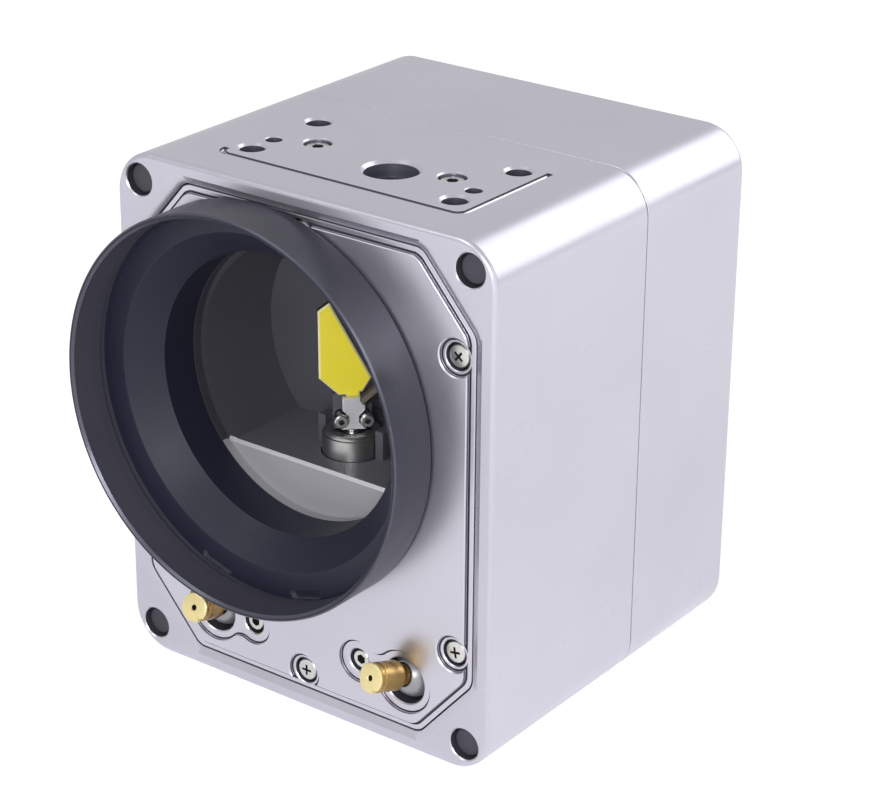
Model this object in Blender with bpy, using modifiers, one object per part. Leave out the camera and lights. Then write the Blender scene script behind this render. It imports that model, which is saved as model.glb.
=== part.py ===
"""Galvo scanner head: a housing with a threaded lens ring, two mirror motors, two aiming
pointers, driver boards and rear connectors.

Metres. X runs to the right along the front face, Y from front to back, Z up.
The origin is the middle of the bottom face of the housing.
"""
from math import acos, asin, atan2, cos, pi, radians, sin, tan

import bmesh
import bpy
from mathutils import Matrix, Vector

GAP = 0.0003                   # between two pieces that touch
OVERCUT = 0.0010               # how far a cutter runs past the face it opens

# Housing
HOUSING_WIDTH = 0.0970
HOUSING_HEIGHT = 0.1160
CORNER_RADIUS = 0.0097         # long edges, front to back
FRONT_ROUND = 0.0011
BACK_ROUND = 0.0022
SEAM_DEPTH = 0.0526            # the joint of front housing and rear cover, from the front face
SIDE_WALL = 0.0052
TOP_WALL = 0.0120
BACK_WALL = 0.0045
REAR_ROOM = 0.0025             # behind the level motor's sensor
LEDGE_WIDTH = 0.0026           # what the front cover sits on
LEDGE_DEPTH = 0.0120
SEAL_OUT = 0.0026              # the seal groove, from the cavity's wall
SEAL_IN = 0.0010
SEAL_DEPTH = 0.0014

# Front cover and the recess that it sits in
COVER_SIDE_MARGIN = 0.0047     # from the housing's side to the cover's edge
COVER_END_MARGIN = 0.0043
COVER_CUT_X = 0.0134           # legs of its cut corners
COVER_CUT_Z = 0.0155
COVER_CORNER_RADIUS = 0.0035
COVER_THICKNESS = 0.0080
COVER_STEP = 0.0008            # how far the rim of the cover lies behind the front face
RECESS_BEVEL = 0.0017
PAD_INSET = 0.0019             # from the cover's edge to its raised pad
NOTCH_RADIUS = 0.0040          # round notches of the pad at the screws

# Lens ring
LENS_X = -0.0098
LENS_Z = 0.0684                # also the height of the beam
RING_RADIUS = 0.0437
RING_REACH = 0.0120            # in front of the front face
THREAD_RADIUS = 0.0424
RELIEF_RADIUS = 0.0429
RELIEF_WIDTH = 0.0012
RELIEF_SINK = 0.0002           # behind the seat
SEAT_RADIUS = 0.0421
RING_FLOOR = 0.0020            # thickness of the flange that the lens seats on
CONE_RADIUS = 0.0370
CONE_DEPTH = 0.0044
LENS_BORE_RADIUS = 0.0312
HUB_RADIUS = 0.0369            # the cone behind the flange that carries it
HUB_DEPTH = 0.0050
SLEEVE_WALL = 0.0010
SLEEVE_DEPTH = 0.0135
KEY_SLOT_RADIUS = 0.0405       # the two slots in the seat
KEY_SLOT_LENGTH = 0.0060
KEY_SLOT_WIDTH = 0.0018
KEY_SLOT_DEPTH = 0.0012
KEY_SLOT_ANGLE = 17.0          # degrees each side of straight down

# Screws of the front cover
COVER_SCREW_SIDE = 0.0094      # from the housing's side
COVER_SCREW_LOW = 0.0261       # from the bottom
COVER_SCREW_HIGH = 0.0249      # from the top
COVER_SCREW_END = 0.0085       # middle screws, from the bottom and the top
COVER_SCREW_HEAD = 0.0026
COVER_SCREW_SHANK = 0.0013
COVER_SCREW_LENGTH = 0.0115
COVER_SCREW_SINK = 0.0003      # below the cover's rim
BOSS_RADIUS = 0.0046

# Corner holes with their long screws and plugs
CORNER_HOLE_INSET = 0.0062
CORNER_HOLE_RADIUS = 0.0035
CORNER_HOLE_DEPTH = 0.0120
PLUG_RECESS = 0.0014
PLUG_LENGTH = 0.0035
LONG_SCREW_SHANK = 0.0016
LONG_SCREW_REACH = 0.0120      # past the seam

# Top face
TOP_HOLE_X = (-0.0255, 0.0265)
TOP_HOLE_DEPTH = (0.0164, 0.0380)
TOP_HOLE_RADIUS = 0.0027
TOP_HOLE_LENGTH = 0.0090
DOWEL_X = (-0.0253, 0.0262)
DOWEL_DEPTH = 0.0231
DOWEL_RADIUS = 0.0018
DOWEL_LENGTH = 0.0070
BEAM_HOLE_RADIUS = 0.0057
MOUNT_SCREW_X = (-0.0168, 0.0180)
MOUNT_SCREW_DEPTH = 0.0271
MOUNT_SCREW_HEAD = 0.0027
MOUNT_SCREW_SHANK = 0.0015
MOUNT_SCREW_RECESS = 0.0008
MOUNT_SCREW_LENGTH = 0.0170
MOUNT_SCREW_BITE = 0.0060      # depth of its hole in the mount
GROOVE_LEFT = -0.0295
GROOVE_RIGHT = 0.0325
GROOVE_FRONT = 0.0102
GROOVE_RIGHT_END = 0.0406
GROOVE_WIDTH = 0.0008
GROOVE_DEPTH = 0.0003
GROOVE_CORNER = 0.0022
GROOVE_TAIL = 0.0004           # straight end at the left corner

# Galvo motors: distances along the shaft are from the beam height, towards the motor
Y_AXIS_X = -0.0084
Y_AXIS_DEPTH = 0.0276
X_AXIS_X = 0.0056
X_AXIS_DEPTH = 0.0231
NOSE_DROP = 0.0149
SEAT_DROP = 0.0203             # the face of the mount that the motor stands out of
MOTOR_RADIUS = 0.0066
MOTOR_LENGTH = 0.0310
MOTOR_BORE = 0.0049
MOTOR_FRONT_WALL = 0.0026
COIL_WALL = 0.0010
COIL_LENGTH = 0.0225
SHAFT_RADIUS = 0.0015
BEARING_WIDTH = 0.0020
FRONT_BEARING_RADIUS = 0.0034
MAGNET_RADIUS = 0.0031
MAGNET_LENGTH = 0.0195
SENSOR_RADIUS = 0.0095
SENSOR_LENGTH = 0.0147
SENSOR_WALL = 0.0014
VANE_RADIUS = 0.0062
VANE_THICKNESS = 0.0008

# Mirrors, their holders and clamps
MIRROR_THICKNESS = 0.0018
MIRROR_FACE = 0.0016           # the coated face, in front of the shaft axis
Y_MIRROR = [(0.0021, -0.0062), (0.0040, -0.0030), (-0.0049, 0.0145), (-0.0074, 0.0127), (-0.0073, -0.0027),
            (-0.0030, -0.0068)]
X_MIRROR = [(0.0034, -0.0062), (0.0058, -0.0034), (0.0058, 0.0034), (0.0034, 0.0068), (-0.0034, 0.0068),
            (-0.0058, 0.0034), (-0.0058, -0.0034), (-0.0034, -0.0062)]
NECK_WIDTH = 0.0030
NECK_END = 0.0118
HOLDER_RADIUS = 0.0043
HOLDER_TOP = 0.0072
HOLDER_BASE = 0.0144
CLAMP_THICKNESS = 0.0012
CLAMP_WIDTH = 0.0049
CLAMP_TOP = 0.0069
CLAMP_BOTTOM = 0.0142
CLAMP_WAIST = 0.0022
CLAMP_SCREW_X = 0.0028
CLAMP_SCREW_DROP = 0.0118
CLAMP_SCREW_HEAD = 0.0015
CLAMP_SCREW_SHANK = 0.0007
CLAMP_SCREW_HEIGHT = 0.0011

# Motor mount
MOUNT_BOTTOM = 0.0260
MOUNT_RIGHT = 0.0260
MOUNT_FRONT = 0.0138
LEDGE_FRONT = 0.0160           # the ledge in front of the upright motor
CHAMBER_RADIUS = 0.0300        # the round room of the mirrors, behind the lens
CHAMBER_BACK = 0.0380
MOUNT_WALL = 0.0060
SADDLE_WALL = 0.0020
SADDLE_HEIGHT = 0.0066

# Aiming pointers: X and Z of the ball hole and of the lock screw, and the lean of the barrel
POINTER_RIGHT = (0.0264, 0.0153)
POINTER_RIGHT_LOCK = (0.0147, 0.0161)
POINTER_RIGHT_LEAN = (-9.3, 16.4)
POINTER_LEFT = (-0.0249, 0.0152)
POINTER_LEFT_LOCK = (-0.0142, 0.0154)
POINTER_LEFT_LEAN = (5.7, 18.8)
POINTER_HOLE_RADIUS = 0.0052
POINTER_POCKET_RADIUS = 0.0072
POINTER_LOBE_RADIUS = 0.0049
POINTER_NECK = 0.0038
POINTER_POCKET = 0.0006
POINTER_BOSS_WALL = 0.0015
PIVOT_DEPTH = 0.0048
BALL_LENGTH = 0.0080
BARREL_RADIUS = 0.0032
BARREL_NECK = 0.0023           # radius behind its head
BARREL_REACH = 0.0136          # in front of the pivot
BARREL_HEAD = 0.0076
BARREL_TAIL = 0.0070
BARREL_EYE = 0.0006
LOCK_SCREW_RADIUS = 0.0021
LOCK_SCREW_HOLE = 0.0026
LOCK_SCREW_DEPTH = 0.0012
LOCK_SEAT = 0.0034
LOCK_SHANK = 0.0012

# Boards
BOARD_THICKNESS = 0.0016
DRIVER_BOARD_SIDE = 0.0155     # from the housing's side to the inner face of a driver board
DRIVER_BOARD_LOW = 0.0210
DRIVER_BOARD_HIGH = 0.0270     # from the top
DRIVER_BOARD_WIDTH = 0.0220    # front to back
BOARD_CLEARANCE = 0.0043       # from the bracket's sheet to the boards
BRACKET_WALL = 0.0020
SPACER_RADIUS = 0.0022
SPACER_LENGTH = 0.0030
CHIPS = ((0.0045, 0.010, 0.015, -0.32), (0.0045, 0.010, 0.015, -0.11), (0.0022, 0.012, 0.012, 0.09),
         (0.0022, 0.007, 0.010, 0.22))      # how tall, deep and long, and where along the board
CAPACITOR_RADIUS = 0.0032
CAPACITOR_LENGTH = 0.0075
INTERFACE_BOARD_SIDE = 0.0125  # from the housing's side
INTERFACE_BOARD_Z = (0.0120, 0.0550)
INTERFACE_STANDOFF = 0.0035

# Rear connectors
SIGNAL_Z = 0.0250
SIGNAL_HALF_WIDTH = 0.0194
SIGNAL_HALF_HEIGHT = 0.0042
SIGNAL_SLANT = 10.0
SIGNAL_FLANGE_HALF = 0.0265
SIGNAL_FLANGE_HEIGHT = 0.0125
SIGNAL_SHELL_WALL = 0.0007
SIGNAL_REACH = 0.0058
SIGNAL_FLANGE_THICKNESS = 0.0010
CONTACT_RADIUS = 0.0006
CONTACT_PITCH = 0.00276
CONTACT_ROW = 0.00142
SOCKET_DEPTH = 0.0040
JACK_SPACING = 0.0235
JACK_HOLE = 0.0018
POWER_X = 0.0220
POWER_Z = 0.0450
POWER_RADIUS = 0.0060
POWER_FLANGE = 0.0082
POWER_REACH = 0.0070
POWER_WALL = 0.0010
POWER_FLANGE_THICKNESS = 0.0018
POWER_PIN_RADIUS = 0.0006
POWER_PIN_CIRCLE = 0.0026

# Worked out from the sizes above
HOUSING_DEPTH = X_AXIS_DEPTH + NOSE_DROP + MOTOR_LENGTH + GAP + SENSOR_LENGTH + REAR_ROOM + BACK_WALL
FRONT = -HOUSING_DEPTH / 2
HALF_WIDTH = HOUSING_WIDTH / 2
COVER_HALF = HALF_WIDTH - COVER_SIDE_MARGIN
COVER_SCREW_X = HALF_WIDTH - COVER_SCREW_SIDE
DRIVER_BOARD_X = HALF_WIDTH - DRIVER_BOARD_SIDE
INTERFACE_BOARD_HALF = HALF_WIDTH - INTERFACE_BOARD_SIDE
CAVITY_TOP = HOUSING_HEIGHT - TOP_WALL
SLEEVE_RADIUS = LENS_BORE_RADIUS + SLEEVE_WALL
REAR_FRONT = SEAM_DEPTH + GAP
WALL_FRONT = X_AXIS_DEPTH + SEAT_DROP
WALL_BACK = WALL_FRONT + MOUNT_WALL
BOARD_FRONT = WALL_BACK + GAP + BRACKET_WALL + BOARD_CLEARANCE
DRIVER_BOARD_DEPTH = (BOARD_FRONT, BOARD_FRONT + DRIVER_BOARD_WIDTH)
DRIVER_BOARD_Z = (DRIVER_BOARD_LOW, HOUSING_HEIGHT - DRIVER_BOARD_HIGH)
LEDGE_Z = LENS_Z - SEAT_DROP
MOUNT_BORE = MOTOR_RADIUS + GAP
REAR_INNER = HOUSING_DEPTH - BACK_WALL


# Collections, materials and objects
for old in list(bpy.data.objects):
    bpy.data.objects.remove(old, do_unlink=True)

PARTS = bpy.data.collections.new("galvo_scanner_head")
CUTTERS = bpy.data.collections.new("cutters")
for group in (PARTS, CUTTERS):
    bpy.context.scene.collection.children.link(group)


def material(name, color, roughness, metallic=0.0):
    """A Principled material."""
    made = bpy.data.materials.new(name)
    made.use_nodes = True
    shader = made.node_tree.nodes["Principled BSDF"]
    shader.inputs["Base Color"].default_value = (*color, 1.0)
    shader.inputs["Roughness"].default_value = roughness
    shader.inputs["Metallic"].default_value = metallic
    made.diffuse_color = (*color, 1.0)
    return made


def empty(name, location, rotation):
    """A frame that pieces are parented to."""
    frame = bpy.data.objects.new(name, None)
    frame.location = location
    frame.rotation_euler = rotation
    PARTS.objects.link(frame)
    return frame


def place(name, mesh, parent=None, location=(0, 0, 0), rotation=(0, 0, 0), look=None):
    """A sub-part, or with no look a hidden cutter."""
    made = bpy.data.objects.new(name, mesh)
    made.location = location
    made.rotation_euler = rotation
    made.parent = parent
    if look is None:
        made.hide_render = True
        made.display_type = "WIRE"
        CUTTERS.objects.link(made)
    else:
        mesh.materials.clear()
        mesh.materials.append(look)
        mesh.shade_smooth()
        mesh.set_sharp_from_angle(angle=radians(35))
        PARTS.objects.link(made)
    return made


def combine(target, tool, operation):
    """An exact Boolean of the target with another object."""
    step = target.modifiers.new(tool.name, "BOOLEAN")
    step.operation = operation
    step.solver = "EXACT"
    step.object = tool


def cut(target, name, mesh, parent=None, location=(0, 0, 0), rotation=(0, 0, 0)):
    """Cuts a mesh out of the target."""
    tool = place(f"{target.name}_{name}_tool", mesh, parent, location, rotation)
    combine(target, tool, "DIFFERENCE")
    return tool


def add(target, name, mesh, parent=None, location=(0, 0, 0), rotation=(0, 0, 0)):
    """Adds a mesh to the target."""
    tool = place(f"{target.name}_{name}_tool", mesh, parent, location, rotation)
    combine(target, tool, "UNION")
    return tool


# Outlines: closed lists of points
def circle(radius, sides, centre=(0.0, 0.0)):
    """A circle of points."""
    turns = [2 * pi * k / sides for k in range(sides)]
    return [(centre[0] + radius * cos(t), centre[1] + radius * sin(t)) for t in turns]


def arc(centre, radius, start, end, steps):
    """Points on an arc between two angles in radians."""
    turns = [start + (end - start) * k / steps for k in range(steps + 1)]
    return [(centre[0] + radius * cos(t), centre[1] + radius * sin(t)) for t in turns]


def rounded(corners, radius, steps):
    """The outline with every corner rounded."""
    points = []
    for k, corner in enumerate(corners):
        here = Vector(corner)
        back = (Vector(corners[k - 1]) - here).normalized()
        ahead = (Vector(corners[(k + 1) % len(corners)]) - here).normalized()
        half = acos(max(-1.0, min(1.0, back.dot(ahead)))) / 2
        middle = here + (back + ahead).normalized() * radius / sin(half)
        first = here + back * radius / tan(half) - middle
        last = here + ahead * radius / tan(half) - middle
        start = atan2(first.y, first.x)
        sweep = (atan2(last.y, last.x) - start + pi) % (2 * pi) - pi
        points += arc(middle, radius, start, start + sweep, steps)
    return points


def box_outline(x0, x1, z0, z1):
    """A rectangle."""
    return [(x0, z0), (x1, z0), (x1, z1), (x0, z1)]


def housing_outline(inset=0.0, steps=5):
    """The housing's outline, seen from the front."""
    box = box_outline(-HALF_WIDTH + inset, HALF_WIDTH - inset, inset, HOUSING_HEIGHT - inset)
    return rounded(box, CORNER_RADIUS - inset, steps)


def cover_outline(offset=0.0, steps=2, top=None):
    """The cover's cut-cornered outline, moved outwards by an offset."""
    half_x = COVER_HALF + offset
    low = COVER_END_MARGIN - offset
    high = HOUSING_HEIGHT - low
    if top is not None:
        high = top
    slant = atan2(COVER_CUT_X, COVER_CUT_Z)
    cut_x = COVER_CUT_X + offset * (1 - tan(pi / 4 - slant / 2))
    cut_z = COVER_CUT_Z + offset * (1 - tan(slant / 2))
    corners = [(-half_x + cut_x, low), (half_x - cut_x, low), (half_x, low + cut_z),
               (half_x, high - cut_z), (half_x - cut_x, high), (-half_x + cut_x, high),
               (-half_x, high - cut_z), (-half_x, low + cut_z)]
    return rounded(corners, COVER_CORNER_RADIUS + offset, steps)


def keyhole(big, big_radius, small, small_radius, neck, steps):
    """Two circles joined by a neck of this half width."""
    line = Vector(small) - Vector(big)
    facing = atan2(line.y, line.x)
    open_big = asin(neck / big_radius)
    open_small = asin(neck / small_radius)
    points = arc(big, big_radius, facing + open_big, facing + 2 * pi - open_big, steps)
    points += arc(small, small_radius, facing - pi + open_small, facing + pi - open_small, steps)
    return points


def connector_outline(half_width, half_height):
    """The D shape of the signal connector."""
    lean = 2 * half_height * tan(radians(SIGNAL_SLANT)) / 2
    corners = [(-half_width + lean, -half_height), (half_width - lean, -half_height),
               (half_width + lean, half_height), (-half_width - lean, half_height)]
    return rounded(corners, half_height * 0.45, 3)


# Meshes
def welded(mesh):
    """The mesh as one closed skin, faces out, with each flat cap round the Z axis as one face."""
    shape = bmesh.new()
    shape.from_mesh(mesh)
    bmesh.ops.remove_doubles(shape, verts=shape.verts, dist=0.000001)
    bmesh.ops.recalc_face_normals(shape, faces=shape.faces)
    if shape.calc_volume(signed=True) < 0:
        bmesh.ops.reverse_faces(shape, faces=shape.faces)
    flat = [vert for vert in shape.verts if vert.co.xy.length < 0.0000001
            and all(abs(face.normal.z) > 0.9999 for face in vert.link_faces)]
    bmesh.ops.dissolve_verts(shape, verts=flat)
    shape.to_mesh(mesh)
    shape.free()
    return mesh


def evaluated(source):
    """The evaluated mesh of a temporary object, which is removed."""
    bpy.context.scene.collection.objects.link(source)
    graph = bpy.context.evaluated_depsgraph_get()
    mesh = bpy.data.meshes.new_from_object(source.evaluated_get(graph), depsgraph=graph)
    bpy.data.objects.remove(source, do_unlink=True)
    return welded(mesh)


def slab(outlines, low, high):
    """Outlines, the first one outside and the others holes, between two heights."""
    curve = bpy.data.curves.new("outline", "CURVE")
    curve.dimensions = "2D"
    curve.fill_mode = "BOTH"
    curve.extrude = (high - low) / 2
    for outline in outlines:
        spline = curve.splines.new("POLY")
        spline.points.add(len(outline) - 1)
        for point, (x, y) in zip(spline.points, outline):
            point.co = (x, y, 0.0, 1.0)
        spline.use_cyclic_u = True
    mesh = evaluated(bpy.data.objects.new("outline", curve))
    mesh.transform(Matrix.Translation((0, 0, (low + high) / 2)))
    return mesh


def loft(sections):
    """A solid through outlines of equal count, each with its height."""
    shape = bmesh.new()
    loops = []
    for outline, height in sections:
        loops.append([shape.verts.new((x, y, height)) for x, y in outline])
    for lower, upper in zip(loops, loops[1:]):
        for k, corner in enumerate(lower):
            after = (k + 1) % len(lower)
            shape.faces.new((corner, lower[after], upper[after], upper[k]))
    shape.faces.new(loops[0])
    shape.faces.new(loops[-1])
    mesh = bpy.data.meshes.new("loft")
    shape.to_mesh(mesh)
    shape.free()
    return welded(mesh)


def turned(profile, sides, closed=False):
    """A profile of radius and height points, turned round Z by a Screw modifier."""
    count = len(profile)
    edges = [(k, k + 1) for k in range(count - 1)]
    if closed:
        edges.append((count - 1, 0))
    mesh = bpy.data.meshes.new("profile")
    mesh.from_pydata([(r, 0.0, z) for r, z in profile], edges, [])
    source = bpy.data.objects.new("profile", mesh)
    lathe = source.modifiers.new("lathe", "SCREW")
    lathe.steps = sides
    lathe.render_steps = sides
    lathe.use_merge_vertices = True
    lathe.merge_threshold = 0.00001
    return evaluated(source)


def rod(radius, low, high, sides):
    """A plain round bar along Z."""
    return turned([(0.0, high), (radius, high), (radius, low), (0.0, low)], sides)


def tube(outer, inner, low, high, sides):
    """A plain ring along Z."""
    profile = [(outer, high), (outer, low), (inner, low), (inner, high)]
    return turned(profile, sides, closed=True)


def screw_mesh(head, head_height, shank, length, sides):
    """A screw with its head's top at height 0, pointing down."""
    profile = [(0.0, 0.0), (head * 0.86, 0.0), (head, -head * 0.14), (head, -head_height),
               (shank, -head_height), (shank, -length), (0.0, -length)]
    return turned(profile, sides)


def brick(size, centre):
    """A box."""
    shape = bmesh.new()
    bmesh.ops.create_cube(shape, size=1.0)
    bmesh.ops.scale(shape, vec=size, verts=shape.verts)
    bmesh.ops.translate(shape, vec=centre, verts=shape.verts)
    mesh = bpy.data.meshes.new("brick")
    shape.to_mesh(mesh)
    shape.free()
    return mesh


def copies(name, mesh, places, parent, look, rotation=(0, 0, 0)):
    """Numbered copies of one mesh, an object each."""
    for k, where in enumerate(places):
        place(f"{name}_{k + 1}", mesh, parent, where, rotation, look)


# Finishes
SILVER = material("painted_silver", (0.50, 0.49, 0.54), 0.42, 0.55)
BLACK = material("black_anodised", (0.022, 0.024, 0.034), 0.38, 0.4)
GREY = material("grey_anodised", (0.10, 0.10, 0.12), 0.5, 0.5)
STEEL = material("bright_steel", (0.62, 0.61, 0.58), 0.28, 1.0)
PLUG = material("dark_plug", (0.06, 0.06, 0.07), 0.6)
BRASS = material("brass", (0.68, 0.50, 0.20), 0.3, 1.0)
COATING = material("gold_coating", (0.80, 0.68, 0.06), 0.12, 0.6)
COPPER = material("copper_wire", (0.55, 0.22, 0.08), 0.4, 0.8)
MAGNET = material("magnet", (0.16, 0.16, 0.17), 0.35, 0.9)
RUBBER = material("rubber", (0.02, 0.02, 0.02), 0.85)
BOARD = material("circuit_board", (0.015, 0.12, 0.05), 0.45)
PLASTIC = material("black_plastic", (0.03, 0.03, 0.03), 0.5)

# Frames. In face, local X and Y are the world's X and Z, and local Z points out of the front.
face = empty("face_frame", (0, FRONT, 0), (pi / 2, 0, 0))
y_frame = empty("y_axis_frame", (Y_AXIS_X, FRONT + Y_AXIS_DEPTH, LENS_Z), (0, 0, pi / 4))
x_frame = empty("x_axis_frame", (X_AXIS_X, FRONT + X_AXIS_DEPTH, LENS_Z), (pi / 2, 3 * pi / 4, 0))


def cover_screw_places():
    """X and Z of the front cover's screws. The lens ring's hub leaves no room for one at the top left."""
    low, high = COVER_SCREW_LOW, HOUSING_HEIGHT - COVER_SCREW_HIGH
    return [(-COVER_SCREW_X, low), (COVER_SCREW_X, low), (COVER_SCREW_X, high), (0.0, COVER_SCREW_END),
            (0.0, HOUSING_HEIGHT - COVER_SCREW_END)]


def corner_places():
    """X and Z of the four corner holes."""
    low, high = CORNER_HOLE_INSET, HOUSING_HEIGHT - CORNER_HOLE_INSET
    side = HALF_WIDTH - CORNER_HOLE_INSET
    return [(x, z) for x in (-side, side) for z in (low, high)]


def groove_outline():
    """The engraved line on the top face: out along one side, back along the other."""
    left, right, front = GROOVE_LEFT, GROOVE_RIGHT, FRONT + GROOVE_FRONT
    corner, half = GROOVE_CORNER, GROOVE_WIDTH / 2
    sides = []
    for shift in (half, -half):
        radius = corner + shift
        line = [(left - shift, front + corner + GROOVE_TAIL)]
        line += arc((left + corner, front + corner), radius, pi, 1.5 * pi, 3)
        line += arc((right - corner, front + corner), radius, 1.5 * pi, 2 * pi, 3)
        sides.append(line + [(right + shift, FRONT + GROOVE_RIGHT_END)])
    return sides[0] + sides[1][::-1]


def front_housing():
    """Front half: recessed rim, ledge with screw bosses, chamber, thick top wall with its holes."""
    sections = [(housing_outline(FRONT_ROUND), 0.0), (housing_outline(FRONT_ROUND * 0.3), -FRONT_ROUND * 0.3),
                (housing_outline(), -FRONT_ROUND), (housing_outline(), -SEAM_DEPTH)]
    body = place("front_housing", loft(sections), face, look=SILVER)
    recess = [(cover_outline(RECESS_BEVEL + OVERCUT), OVERCUT), (cover_outline(), -COVER_STEP),
              (cover_outline(), -COVER_THICKNESS - GAP)]
    cut(body, "recess", loft(recess), face)
    opening = slab([cover_outline(-LEDGE_WIDTH)], -LEDGE_DEPTH - OVERCUT, -COVER_THICKNESS)
    window = cut(body, "window", opening, face)
    for k, (x, z) in enumerate(cover_screw_places()):
        boss = rod(BOSS_RADIUS, -LEDGE_DEPTH - 2 * OVERCUT, OVERCUT, 12)
        cut(window, f"boss_{k}", boss, face, (x, z, 0))
        hole = rod(COVER_SCREW_SHANK + GAP, -COVER_SCREW_LENGTH - OVERCUT, -COVER_THICKNESS + OVERCUT, 8)
        cut(body, f"tapped_{k}", hole, face, (x, z, 0))
    cavity_offset = COVER_SIDE_MARGIN - SIDE_WALL
    cavity = slab([cover_outline(cavity_offset, top=CAVITY_TOP)], -SEAM_DEPTH - OVERCUT, -LEDGE_DEPTH)
    cut(body, "cavity", cavity, face)
    cut(body, "sleeve", hub_seat(2 * GAP, -SLEEVE_DEPTH - GAP, 32), face, (LENS_X, LENS_Z, 0))
    seal = slab([cover_outline(COVER_SIDE_MARGIN - SIDE_WALL + SEAL_OUT),
                 cover_outline(COVER_SIDE_MARGIN - SIDE_WALL + SEAL_IN)],
                -SEAM_DEPTH - OVERCUT, -SEAM_DEPTH + SEAL_DEPTH)
    cut(body, "seal_groove", seal, face)
    for k, (x, z) in enumerate(corner_places()):
        profile = [(0.0, OVERCUT), (CORNER_HOLE_RADIUS, OVERCUT), (CORNER_HOLE_RADIUS, -CORNER_HOLE_DEPTH),
                   (LONG_SCREW_SHANK + GAP, -CORNER_HOLE_DEPTH),
                   (LONG_SCREW_SHANK + GAP, -SEAM_DEPTH - OVERCUT), (0.0, -SEAM_DEPTH - OVERCUT)]
        cut(body, f"corner_{k}", turned(profile, 14), face, (x, z, 0))
    top_holes(body)
    return body


def top_holes(body):
    """Tapped holes, dowel holes, mount screws' holes, beam hole and engraved line of the top face."""
    top = HOUSING_HEIGHT
    tapped = turned([(0.0, OVERCUT), (TOP_HOLE_RADIUS + 0.0014, OVERCUT), (TOP_HOLE_RADIUS, -0.0004),
                     (TOP_HOLE_RADIUS, -TOP_HOLE_LENGTH), (0.0, -TOP_HOLE_LENGTH)], 14)
    for k, (x, depth) in enumerate((x, depth) for x in TOP_HOLE_X for depth in TOP_HOLE_DEPTH):
        cut(body, f"top_{k}", tapped.copy(), None, (x, FRONT + depth, top))
    for k, x in enumerate(DOWEL_X):
        cut(body, f"dowel_{k}", rod(DOWEL_RADIUS, -DOWEL_LENGTH, OVERCUT, 10), None,
            (x, FRONT + DOWEL_DEPTH, top))
    screw_hole = turned([(0.0, OVERCUT), (MOUNT_SCREW_HEAD + GAP, OVERCUT),
                         (MOUNT_SCREW_HEAD + GAP, -MOUNT_SCREW_RECESS - MOUNT_SCREW_HEAD - GAP),
                         (MOUNT_SCREW_SHANK + GAP, -MOUNT_SCREW_RECESS - MOUNT_SCREW_HEAD - GAP),
                         (MOUNT_SCREW_SHANK + GAP, -TOP_WALL - OVERCUT), (0.0, -TOP_WALL - OVERCUT)], 12)
    for k, x in enumerate(MOUNT_SCREW_X):
        cut(body, f"mount_screw_{k}", screw_hole.copy(), None, (x, FRONT + MOUNT_SCREW_DEPTH, top))
    beam = turned([(0.0, OVERCUT), (BEAM_HOLE_RADIUS + OVERCUT + 0.0005, OVERCUT), (BEAM_HOLE_RADIUS, -0.0005),
                   (BEAM_HOLE_RADIUS, -0.0035), (BEAM_HOLE_RADIUS - 0.0007, -0.0035),
                   (BEAM_HOLE_RADIUS - 0.0007, -TOP_WALL - OVERCUT), (0.0, -TOP_WALL - OVERCUT)], 20)
    cut(body, "beam", beam, None, (X_AXIS_X, FRONT + X_AXIS_DEPTH, top))
    cut(body, "groove", slab([groove_outline()], top - GROOVE_DEPTH, top + OVERCUT))


def housing_seal():
    """The cord seal that lies in the groove at the seam."""
    offset = COVER_SIDE_MARGIN - SIDE_WALL
    rings = [cover_outline(offset + SEAL_OUT - GAP), cover_outline(offset + SEAL_IN + GAP)]
    place("housing_seal", slab(rings, -SEAM_DEPTH, -SEAM_DEPTH + SEAL_DEPTH - GAP), face, look=RUBBER)


def rear_cover():
    """Back half: a shell with corner posts and the connector cut-outs."""
    back = -HOUSING_DEPTH
    sections = [(housing_outline(), -REAR_FRONT), (housing_outline(), back + BACK_ROUND),
                (housing_outline(BACK_ROUND * 0.3), back + BACK_ROUND * 0.3), (housing_outline(BACK_ROUND), back)]
    body = place("rear_cover", loft(sections), face, look=SILVER)
    offset = COVER_SIDE_MARGIN - SIDE_WALL
    cut(body, "cavity", slab([cover_outline(offset)], -REAR_INNER, -REAR_FRONT + OVERCUT), face)
    for k, (x, z) in enumerate(interface_fixings()):
        post = rod(SPACER_RADIUS, -REAR_INNER - OVERCUT, -REAR_INNER + INTERFACE_STANDOFF, 10)
        add(body, f"board_post_{k}", post, face, (x, z, 0))
    for k, (x, z) in enumerate(corner_places()):
        depth = REAR_FRONT + LONG_SCREW_REACH
        cut(body, f"post_{k}", rod(LONG_SCREW_SHANK + GAP, -depth - OVERCUT, -REAR_FRONT + OVERCUT, 12),
            face, (x, z, 0))
    signal = connector_outline(SIGNAL_HALF_WIDTH + GAP, SIGNAL_HALF_HEIGHT + GAP)
    cut(body, "signal_hole", slab([signal], back - OVERCUT, -REAR_INNER + OVERCUT), face, (0, SIGNAL_Z, 0))
    cut(body, "power_hole", rod(POWER_RADIUS + GAP, back - OVERCUT, -REAR_INNER + OVERCUT, 24),
        face, (POWER_X, POWER_Z, 0))
    for side in (-1, 1):
        cut(body, f"jack_hole_{side}", rod(JACK_HOLE, back - OVERCUT, -REAR_INNER + OVERCUT, 12),
            face, (side * JACK_SPACING, SIGNAL_Z, 0))


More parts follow.
